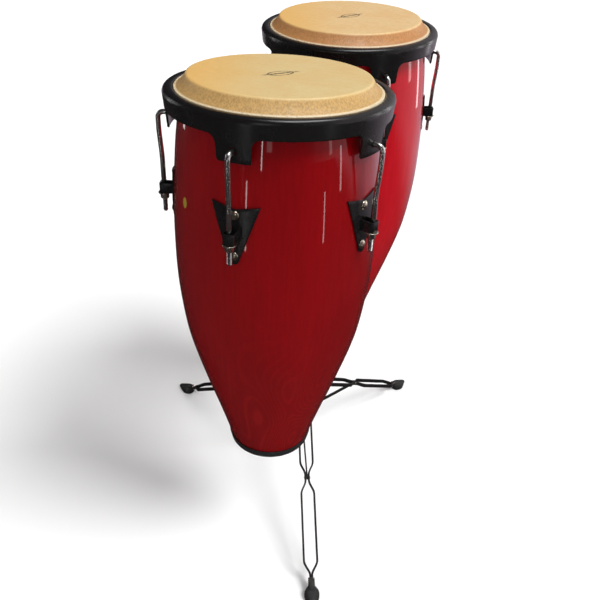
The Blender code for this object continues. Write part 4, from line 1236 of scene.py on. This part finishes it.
    def head(self) -> None:
        """The hide, wrinkled where it is pulled down, its stitched hem, and the hoop under the rim."""
        profile = self.skin_profile()
        columns = 2 * self.segments
        shape = lathe(profile, columns, closed=False)
        turns = np.arctan2(shape.points[:, 1], shape.points[:, 0])
        random = np.random.default_rng(7 if self.side is Side.FRONT else 11)
        ruck = np.zeros_like(turns)
        for waves in (31, 47, 58, 73, 88):
            ruck += np.sin(waves * turns + random.uniform(0, FULL_TURN)) / 5
        z = shape.points[:, 2]
        rows = np.repeat(np.arange(len(profile)), columns)
        from_end = len(profile) - rows
        pull = np.clip((-z - 0.006) / 0.013, 0, 1) * (from_end > HIDDEN_ROWS)
        shape.points[:, :2] *= (1 - pull * (0.0022 + 0.0023 * ruck))[:, None]
        edge = (from_end > HIDDEN_ROWS + 1) & (from_end <= HIDDEN_ROWS + 4)
        bumps = np.sin(96 * turns + 1.3) * np.sin(41 * turns)
        shape.points[edge, 2] += self.hem_waver * bumps[edge]
        self.head_seat.place(f"{self.name}_hide_head", shape.mesh("hide"), Slot.HIDE,
                             (self.paints.hide[self.side],), (f"{self.name}_drumhead",))
        mesh = Repeats.made(bpy.data.meshes.new("stitches"), Repeats.stitches(), {
            "Count": self.stitch_count, "Radius": self.collar_radius - 0.0019, "Height": -0.0194,
            "Length": 0.0025, "Thickness": 0.00105, "Seed": 3, "Material": self.paints.raw_edge})
        self.head_seat.place(f"{self.name}_hem_stitches", mesh, Slot.HIDE, (self.paints.raw_edge,))
        hoop = self.frame["nodes"][f"{self.name}_flesh_hoop"]
        hoop.data.materials.clear()
        hoop.data.materials.append(self.paints.steel)

    def ear_edge(self) -> list[Point]:
        """Half of one ear's edge, from its middle out: (distance round the rim, depth)."""
        half, corner = self.ear_width / 2, self.ear_corner
        edge = [(x, self.ear_bottom) for x in np.linspace(0, half - corner, 8)]
        for turn in np.linspace(0.2, math.pi / 2, 6):
            edge.append((half - corner * (1 - math.sin(turn)),
                         self.ear_bottom - corner * (1 - math.cos(turn))))
        neck = half + 0.0003
        edge.append((neck, self.wall_bottom + self.shoulder))
        for turn in np.linspace(math.pi / 2 * 0.92, 0, 12):
            edge.append((neck + self.ear_flare * (1 - math.sin(turn)),
                         self.wall_bottom + self.shoulder * (1 - math.cos(turn))))
        return edge

    def rim(self) -> None:
        """The rim: a rolled crown, a wall and five flared ears, bored for the hooks."""
        edge = self.ear_edge()
        middle = self.rim_radius * math.pi / LUGS
        rest = [(x, self.wall_bottom) for x in np.linspace(edge[-1][0] + 0.0030, middle, 18)]
        half = edge + rest
        sector = half + [(2 * middle - x, d) for x, d in half[-2:0:-1]]
        turns = np.array([x / self.rim_radius + FULL_TURN * k / LUGS for k in range(LUGS) for x, _ in sector])
        depths = np.array([d for _ in range(LUGS) for _, d in sector])
        lip, out, wall = self.collar_radius + self.clearance, self.rim_radius, self.rim_wall
        start, round_off, drilled = 0.0256, 0.0009, 0.0200
        crown = [(lip, self.under), (lip, 0.0225), (lip + 0.0004, 0.0207), (lip + 0.0014, 0.0194),
                 (lip + 0.0032, 0.0187), (lip + 0.0058, self.rim_top), (out - 0.0074, 0.0186),
                 (out - 0.0048, 0.0192), (out - 0.0026, 0.0205), (out - 0.0010, 0.0225), (out, start)]
        rows = [(np.full_like(turns, r), np.full_like(turns, -s)) for r, s in crown]

        def outside(drop: np.ndarray) -> np.ndarray:
            """Outer radius of the rim's wall and ears at each depth."""
            taper = self.wall_taper * np.clip((drop - start) / (self.wall_bottom - start), 0, 1)
            lean = (self.ear_lean - self.wall_taper) * np.clip(
                (drop - self.wall_bottom) / (self.ear_bottom - self.wall_bottom), 0, 1)
            return out - taper - lean

        for share in np.linspace(0.1, 1, 9):
            drop = start + (depths - round_off - start) * share
            rows.append((outside(drop), -drop))
        face = outside(depths)
        rows += [(face - 0.0003, 0.0003 - depths), (face - round_off, -depths),
                 (face - wall + round_off, -depths), (face - wall + 0.0003, 0.0003 - depths)]
        for share in np.linspace(1, 0.12, 8):
            drop = start + (depths - round_off - start) * share
            rows.append((outside(drop) - wall, -np.maximum(drop, self.under + 0.0010)))
        rows.append((np.full_like(turns, out - wall - 0.0008), np.full_like(turns, -self.under)))
        points = np.concatenate([np.stack([r * np.cos(turns), r * np.sin(turns), z], 1) for r, z in rows])
        shape = Shape.of(points, grid_faces(len(rows), len(turns), True, True))
        bore = self.lug.rod + 0.0010
        drill = lathe([(0.0, drilled), (bore, drilled), (bore, -drilled), (0.0, -drilled)], 24, closed=False)
        aim = Matrix.Translation((self.rim_radius, 0, -self.lug.hole)) @ Matrix.Rotation(math.pi / 2, 4, "Y")
        cutter = in_scene("rim_drills", self.ring_of(drill.moved(aim), self.paints.black))
        mesh = worked(shape.mesh("rim"), "BOOLEAN", operation="DIFFERENCE", solver="EXACT", object=cutter)
        bpy.data.objects.remove(cutter)
        self.head_seat.place(f"{self.name}_rolled_rim", mesh, Slot.RIM, (self.paints.black,),
                             (f"{self.name}_rim",))

    def ring_of(self, shape: Shape, material: bpy.types.Material, width: float = 0.0) -> bpy.types.Mesh:
        """Five copies of a lug's shape round the drum, rounded by a width if it has one."""
        mesh = shape.mesh("lug")
        if width:
            mesh = bevelled(mesh, width)
        return Repeats.made(mesh, Repeats.ring(), {"Count": LUGS, "Material": material})

    def lugs(self) -> None:
        """Hooks on the head; side plates, straps, bolts and nuts on the shell."""
        lug, paints = self.lug, self.paints
        numbers = range(1, LUGS + 1)
        self.head_seat.place(f"{self.name}_hooks", self.ring_of(lug.hook(), paints.chrome), Slot.CHROME,
                             (paints.chrome,), [f"{self.name}_hook_{k}" for k in numbers])
        plate = lug.side_plate(self.radius, self.clearance)
        self.drum_seat.place(f"{self.name}_side_plates", self.ring_of(plate, paints.black, 0.0007), Slot.RIM,
                             (paints.black,), [f"{self.name}_side_plate_{k}" for k in numbers])
        straps = self.ring_of(lug.strap(self.radius), paints.black, 0.0005)
        self.drum_seat.place(f"{self.name}_straps", straps, Slot.RIM, (paints.black,))
        bolts = lug.bolt(self.radius, lug.top_bolt).joined(lug.bolt(self.radius, lug.bottom_bolt))
        self.drum_seat.place(f"{self.name}_plate_bolts", self.ring_of(bolts, paints.nickel), Slot.CHROME,
                             (paints.nickel,))
        axis = self.matrix.to_3x3().to_4x4()
        for joint in self.frame["joints"]:
            if joint["name"].startswith(f"{self.name}_nut_"):
                nut = joint["child"]
                seat = Seat(Matrix.Translation(joint["pos_m"]) @ axis, nut)
                seat.place(f"{nut}_hexagon", lug.nut().mesh("nut"), Slot.CHROME, (paints.thread,), (nut,))

    def bracket(self) -> None:
        """The bracket that hangs the drum, its four bolts, and its lock bolt."""
        node = f"{self.name}_mount_bracket"
        Seat(SHARED, f"{self.name}_drum").place(
            f"{self.name}_hanging_bracket", rounded_node(self.frame, node, 0.0007), Slot.RIM,
            (self.paints.black,), (node,))
        bolts = []
        for across in (-self.bracket_spread, self.bracket_spread):
            for down in self.bracket_rows:
                drop = self.bracket_middle + down - self.lug.hole
                turn = self.bracket_turn + across / self.radius(self.bracket_middle)
                bolts.append(self.lug.bolt(self.radius, drop, turn))
        self.drum_seat.place(f"{self.name}_bracket_bolts", bolts[0].joined(*bolts[1:]).mesh("bolts"),
                             Slot.CHROME, (self.paints.nickel,))
        bolt = f"{self.name}_lock_bolt"
        Seat(SHARED, bolt).place(f"{self.name}_wing_bolt", rounded_node(self.frame, bolt, 0.0006),
                                 Slot.CHROME, (self.paints.chrome,), (bolt,))


# ------------------------------------------------------------------------------- stand


@dataclass
class Stand:
    """Tripod, post, mast and yoke."""

    frame: dict[str, Any]
    paints: Paints
    leg_length: float = 0.42411
    slope: float = math.radians(31.295)
    crossing_share: float = 0.4581  # how far down a leg its bars cross
    strip: float = 0.0040
    strip_height: float = 0.0095
    loop: float = 0.0145
    ramp: float = 0.0300
    tail: float = 0.0070
    hub_flat: float = 0.0100
    crossing_flat: float = 0.0060
    meeting: float = 0.0240
    stub: float = 0.0100
    hub_offset: float = 0.0049
    crossing_offset: float = 0.0039
    rivet: float = 0.0030
    rivet_head: float = 0.00375
    foot_height: float = 0.0200
    foot_half_width: float = 0.0165
    foot_reach: float = 0.0430
    foot_slope: float = 0.0090
    foot_drop: float = 0.0150
    neck: Point = (0.0072, 0.0068)

    @property
    def crossing(self) -> float:
        """Distance from a leg's pivot to the crossing of its bars."""
        return self.crossing_share * self.leg_length

    def build(self) -> None:
        """Builds every piece of the stand."""
        self.tubes()
        self.castings()
        for number in (1, 2, 3):
            self.leg(number)
            self.foot(number)

    def tube(self, node: str, body: str, slot: Slot, material: bpy.types.Material, wall: float) -> None:
        """A tube with rolled ends in place of a CAD tube."""
        low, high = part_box(node)
        outer = (high.x - low.x) / 2
        middle = (low + high) / 2
        corners = [(outer - wall, high.z), (outer, high.z), (outer, low.z), (outer - wall, low.z)]
        shape = lathe(rounded_profile(corners, 0.0010, 3), 64)
        Seat(Matrix.Translation((middle.x, middle.y, 0)), body).place(
            f"{node}_drawn", shape.mesh(node), slot, (material,), (node,))

    def tubes(self) -> None:
        """The enamelled post and the plated mast in it."""
        self.tube("lower_tube", "stand_base", Slot.STAND, self.paints.stand, 0.0012)
        self.tube("upper_tube", "mast", Slot.CHROME, self.paints.chrome, 0.0015)

    def castings(self) -> None:
        """The yoke, clamp, hub, sliding collar, braces and height bolt, with rounded edges."""
        braces = [(f"brace_{number}", f"brace_{number}", 0.0005) for number in (1, 2, 3)]
        for node, body, width in (
                ("yoke", "yoke", 0.0010), ("height_clamp", "stand_base", 0.0008),
                ("leg_hub", "stand_base", 0.0006), ("lower_collar", "lower_collar", 0.0004), *braces):
            Seat(SHARED, body).place(f"{node}_finished", rounded_node(self.frame, node, width), Slot.STAND,
                                     (self.paints.stand,), (node,))
        bolt = "height_bolt"
        Seat(SHARED, bolt).place("height_wing_bolt", rounded_node(self.frame, bolt, 0.0006), Slot.CHROME,
                                 (self.paints.chrome,), (bolt,))

    def leg_frame(self, number: int) -> Matrix:
        """A leg's own frame: the origin at its pivot, +X down the leg, +Y along the pivot."""
        joint = next(j for j in self.frame["joints"] if j["child"] == f"leg_{number}")
        pivot_axis = Vector(joint["axis"]).normalized()
        level = Vector((pivot_axis.y, -pivot_axis.x, 0)).normalized()
        along = level * math.cos(self.slope) - Vector((0, 0, 1)) * math.sin(self.slope)
        up = along.cross(pivot_axis)
        frame = Matrix((along, pivot_axis, up)).transposed().to_4x4()
        return Matrix.Translation(joint["pos_m"]) @ frame

    def offset(self, x: float) -> float:
        """Half the distance between a leg's bars."""
        before, after = self.crossing - self.crossing_flat, self.crossing + self.crossing_flat
        meet = self.leg_length - self.meeting
        stations = (
            (-self.tail, self.hub_offset), (self.hub_flat, self.hub_offset),
            (self.hub_flat + self.ramp, self.loop), (before - self.ramp, self.loop),
            (before, self.crossing_offset), (after, self.crossing_offset),
            (after + self.ramp, self.loop), (meet - self.ramp, self.loop), (meet, self.strip / 2))
        for (x0, w0), (x1, w1) in zip(stations, stations[1:]):
            if x <= x1:
                share = (x - x0) / (x1 - x0)
                return w0 + (w1 - w0) * share * share * (3 - 2 * share)
        return self.strip / 2 + 0.00005

    def leg(self, number: int) -> None:
        """A leg's two bars and its rivets."""
        stations = np.arange(-self.tail, self.leg_length + self.stub, 0.0030)
        w, h = self.strip / 2, self.strip_height / 2
        section = np.array(rounded_profile([(-h, -w), (h, -w), (h, w), (-h, w)], 0.0009, 3))
        bars = []
        for sign in (-1, 1):
            path = np.array([(x, sign * self.offset(x), 0) for x in stations])
            bars.append(sweep(path, np.array(UP), [section] * len(path)))
        seat = Seat(self.leg_frame(number), f"leg_{number}")
        seat.place(f"leg_{number}_bars", bars[0].joined(bars[1]).mesh("bars"), Slot.STAND,
                   (self.paints.stand,), (f"leg_{number}",))
        rivets = []
        for x, offset in ((0.0, self.hub_offset), (self.crossing, self.crossing_offset)):
            reach = offset + self.strip / 2
            for sign in (-1, 1):
                aim = Matrix.Rotation(-sign * math.pi / 2, 4, "X")
                head = dome(self.rivet_head, 0.0015, 0.0010, 16)
                rivets.append(head.moved(Matrix.Translation((x, sign * reach, 0)) @ aim))
            ends = [(0.0, reach), (self.rivet, reach), (self.rivet, -reach), (0.0, -reach)]
            pin = lathe(ends, 16, closed=False)
            rivets.append(pin.moved(Matrix.Translation((x, 0, 0)) @ Matrix.Rotation(math.pi / 2, 4, "X")))
        seat.place(f"leg_{number}_rivets", rivets[0].joined(*rivets[1:]).mesh("rivets"), Slot.CHROME,
                   (self.paints.nickel,))

    def sleeve(self, stations: Sequence[Point]) -> Shape:
        """A rounded sleeve on the leg's end through (place past the leg's end, share of size) stations."""
        wide, high = self.neck
        corners = [(-wide, -high), (wide, -high), (wide, high), (-wide, high)]
        section = np.array(rounded_profile(corners, 0.0040, 4))
        path = np.array([(self.leg_length + x, 0.0, 0.0) for x, _ in stations])
        return sweep(path, np.array(UP), [section * share for _, share in stations])

    def foot(self, number: int) -> None:
        """A leg's moulded rubber foot and the bright ring at its neck."""
        seat = Seat(self.leg_frame(number), f"leg_{number}")
        w, reach = self.foot_half_width, self.foot_reach
        right = [(-0.0080, 0.0085), (0.0050, w), (0.0150, w - 0.0005), (0.0280, w * 0.62), (reach, 0.0025)]
        outline = rounded_profile([*right, *[(x, -y) for x, y in right[::-1]]], 0.0060, 5)
        centre = np.array((0.0130, 0.0))
        flat = np.array(outline) - centre
        rows = []
        for rise, share in ((0.0, 0.0), (0.0, 0.90), (0.03, 0.965), (0.09, 1.0), (0.45, 0.985), (0.66, 0.93),
                            (0.82, 0.82), (0.93, 0.66), (0.985, 0.42), (1.0, 0.0)):
            spots = flat * share + centre
            height = self.foot_height - self.foot_slope * np.clip(spots[:, 0], 0, None) / reach
            rows.append(np.column_stack([spots, height * rise]))
        body = Shape.of(np.concatenate(rows), grid_faces(len(rows), len(outline), False, True))
        level = Matrix.Translation((self.leg_length, 0, 0)) @ Matrix.Rotation(-self.slope, 4, "Y")
        body = body.moved(level @ Matrix.Translation((0, 0, -self.foot_drop)))
        neck = self.sleeve(((-0.0170, 0.90), (-0.0165, 1.0), (-0.0080, 1.02), (0.0040, 1.10)))
        seat.place(f"foot_{number}_moulded", body.joined(neck).mesh("foot"), Slot.RUBBER,
                   (self.paints.rubber,), (f"foot_{number}",))
        ring = self.sleeve(((-0.0200, 0.90), (-0.0194, 1.0), (-0.0176, 1.0), (-0.0170, 0.90)))
        seat.place(f"foot_{number}_ring", ring.mesh("neck_ring"), Slot.CHROME, (self.paints.chrome,))


# ------------------------------------------------------------------------------- studio


@dataclass
class Studio:
    """Floor, lights and camera round the post's place on the floor."""

    post: Vector
    camera_offset: tuple[float, float, float] = (-1.1395, -0.3307, 1.2942)
    camera_right: tuple[float, float, float] = (0.31425, -0.94868, 0.03536)
    camera_up: tuple[float, float, float] = (0.52366, 0.20429, 0.82707)
    lens: float = 38.68
    sensor: float = 36.0
    floor_reach: float = 9.0
    fill: float = 0.56
    dim: Colour = (0.022, 0.020, 0.026)
    bright: Colour = (0.55, 0.52, 0.54)
    sun: float = 2.7
    sun_from: tuple[float, float, float] = (-0.05, -0.60, 0.80)
    sun_spread: float = math.radians(26)
    strip_reach: float = 2.2
    strips: tuple[tuple[float, float, float, float, float], ...] = (
        (81.0, 1.15, 1.2, 0.16, 3.0), (92.0, 1.35, 0.9, 0.10, 3.0), (183.0, 1.20, 0.9, 0.05, 7.0),
        (190.0, 1.45, 0.9, 0.16, 0.8), (226.0, 1.50, 0.5, 0.05, 2.5), (250.0, 1.10, 0.6, 0.14, 1.2),
        (262.0, 0.62, 0.5, 0.05, 4.0), (300.0, 1.25, 1.2, 0.24, 3.0), (322.0, 1.05, 1.3, 0.20, 4.0),
        (170.0, 0.36, 0.55, 0.035, 6.0), (243.0, 0.26, 0.40, 0.05, 5.0))

    def camera(self) -> None:
        """The camera."""
        data = bpy.data.cameras.new("camera")
        data.lens, data.sensor_width, data.clip_end = self.lens, self.sensor, 30.0
        camera = in_scene("camera", data)
        right, up = Vector(self.camera_right).normalized(), Vector(self.camera_up).normalized()
        turn = Matrix((right, up, right.cross(up))).transposed().to_4x4()
        camera.matrix_world = Matrix.Translation(self.post + Vector(self.camera_offset)) @ turn
        bpy.context.scene.camera = camera

    def floor(self) -> None:
        """A wide pale floor; in reflections it shows painted colours instead, dark near the drums and a pale
        purple further back.
        """
        mesh = bpy.data.meshes.new("floor")
        reach = self.floor_reach
        corners = [(-reach, -reach, 0), (reach, -reach, 0), (reach, reach, 0), (-reach, reach, 0)]
        mesh.from_pydata(corners, [], [(0, 1, 2, 3)])
        floor = in_scene("floor", mesh)
        material = bpy.data.materials.new("pale_floor")
        material.use_nodes = True
        tree = Tree(material.node_tree)
        shader = material.node_tree.nodes["Principled BSDF"]
        where = tree.add("ShaderNodeTexCoord").outputs["Object"]
        tone = tree.ramp(tree.noise(where, 1.5, 2.0), 0.2, 0.8)
        pale = tree.mix(tone, (0.93, 0.93, 0.93), (0.95, 0.95, 0.95))
        # painted reflection: to glossy rays the floor is dark near the drums and pale purple further back, so
        # the lacquer and chrome reflect these instead of the pale floor
        in_gloss = tree.add("ShaderNodeLightPath").outputs["Is Glossy Ray"]
        behind = tree.ramp(tree.dot(where, (1.0, -0.35, 0.0)), 1.1, 2.6)
        painted_reflection = tree.mix(behind, (0.020, 0.017, 0.017), (0.42, 0.36, 0.42))
        tree.join(tree.mix(in_gloss, pale, painted_reflection), shader, "Base Color")
        shader.inputs["Roughness"].default_value = 0.6
        shader.inputs["Specular IOR Level"].default_value = 0.0
        mesh.materials.append(material)

    def sky(self) -> None:
        """White surroundings, darker in the gloss so that the lacquer stays deep."""
        world = bpy.data.worlds.new("studio")
        world.use_nodes = True
        bpy.context.scene.world = world
        tree = Tree(world.node_tree)
        background = world.node_tree.nodes["Background"]
        path = tree.add("ShaderNodeLightPath")
        where = tree.add("ShaderNodeTexCoord").outputs["Generated"]
        side = tree.ramp(tree.dot(where, (0.62, -0.76, 0.18)), 0.15, 0.95)
        gloss = tree.mix(side, self.dim, self.bright)
        fill = tree.mix(path.outputs["Is Camera Ray"], (self.fill,) * 3, (1.0, 1.0, 1.0))
        tree.join(tree.mix(path.outputs["Is Glossy Ray"], fill, gloss), background, "Color")

    def light(self, name: str, offset: Sequence[float], size: Point, power: float,
              aim: Sequence[float]) -> None:
        """An area light that faces a point and shows only in reflections.

        Args:
            name: the light's name.
            offset: its place, from the post's place on the floor.
            size: its width and height.
            power: its power in watts.
            aim: the point that it faces, from the same place.
        """
        data = bpy.data.lights.new(name, "AREA")
        data.shape, data.size, data.size_y = "RECTANGLE", *size
        data.energy = power
        light = in_scene(name, data)
        light.visible_diffuse = False
        start, end = self.post + Vector(offset), self.post + Vector(aim)
        turn = (end - start).to_track_quat("-Z", "Y").to_matrix().to_4x4()
        light.matrix_world = Matrix.Translation(start) @ turn

    def sunlight(self) -> None:
        """A broad soft light from the right, kept out of the reflections."""
        data = bpy.data.lights.new("broad_light", "SUN")
        data.energy, data.angle = self.sun, self.sun_spread
        light = in_scene("broad_light", data)
        light.visible_glossy = False
        light.matrix_world = (-Vector(self.sun_from)).to_track_quat("-Z", "Y").to_matrix().to_4x4()

    def build(self) -> None:
        """Sets the floor, sky, lights and camera."""
        self.floor()
        self.sky()
        self.sunlight()
        for turn, height, length, width, radiance in self.strips:
            across, along = math.cos(math.radians(turn)), math.sin(math.radians(turn))
            self.light(f"strip_{turn:.0f}", (self.strip_reach * across, self.strip_reach * along, height),
                       (width, length), radiance * math.pi * width * length, (0.0, 0.0, height))
        self.light("ceiling_panel", (-0.2, -0.5, 2.9), (1.4, 0.8), 26.0, (0.0, 0.0, 0.9))
        self.camera()
        bpy.context.scene.view_settings.view_transform = "Standard"


# ------------------------------------------------------------------------------- assembly


def drum_matrix(side: Side, joints: Sequence[dict[str, Any]], nut_below_head: float) -> Matrix:
    """A drum's own frame, worked out from its joints.

    Args:
        side: which drum.
        joints: the record's joints.
        nut_below_head: distance from the head's face down to the middle of the nuts.

    Returns:
        The matrix from the drum's frame to the shared one.
    """
    axis = next(Vector(j["axis"]) for j in joints if j["name"] == f"{side.value}_head_tension").normalized()
    nuts = [Vector(next(j["pos_m"] for j in joints if j["child"] == f"{side.value}_nut_{k}"))
            for k in range(1, LUGS + 1)]
    middle = sum(nuts, Vector()) / LUGS
    first = (nuts[0] - middle).normalized()
    frame = Matrix((first, axis.cross(first), axis)).transposed().to_4x4()
    return Matrix.Translation(middle + axis * nut_below_head) @ frame


def clear_scene() -> None:
    """Removes everything that Blender starts with."""
    for obj in list(bpy.data.objects):
        bpy.data.objects.remove(obj)


def main() -> None:
    """Builds the pair of drums, their stand and the studio."""
    logging.basicConfig(level=logging.INFO, format="%(name)s: %(message)s")
    clear_scene()
    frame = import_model()
    low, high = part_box("lower_tube")
    post = Vector(((low.x + high.x) / 2, (low.y + high.y) / 2, 0))
    paints = Paints.mixed()
    lug = Lug()
    clearance = 0.0003
    nut_below_head = lug.hole + lug.strap_top + lug.strap_height + clearance + lug.washer + lug.nut_height / 2
    for side, bracket_turn in ((Side.FRONT, math.radians(37.3)), (Side.BACK, math.radians(42.8))):
        matrix = drum_matrix(side, frame["joints"], nut_below_head)
        Drum(side, matrix, frame, paints, bracket_turn, lug).build()
    Stand(frame, paints).build()
    Studio(post).build()


if __name__ == "__main__":
    main()
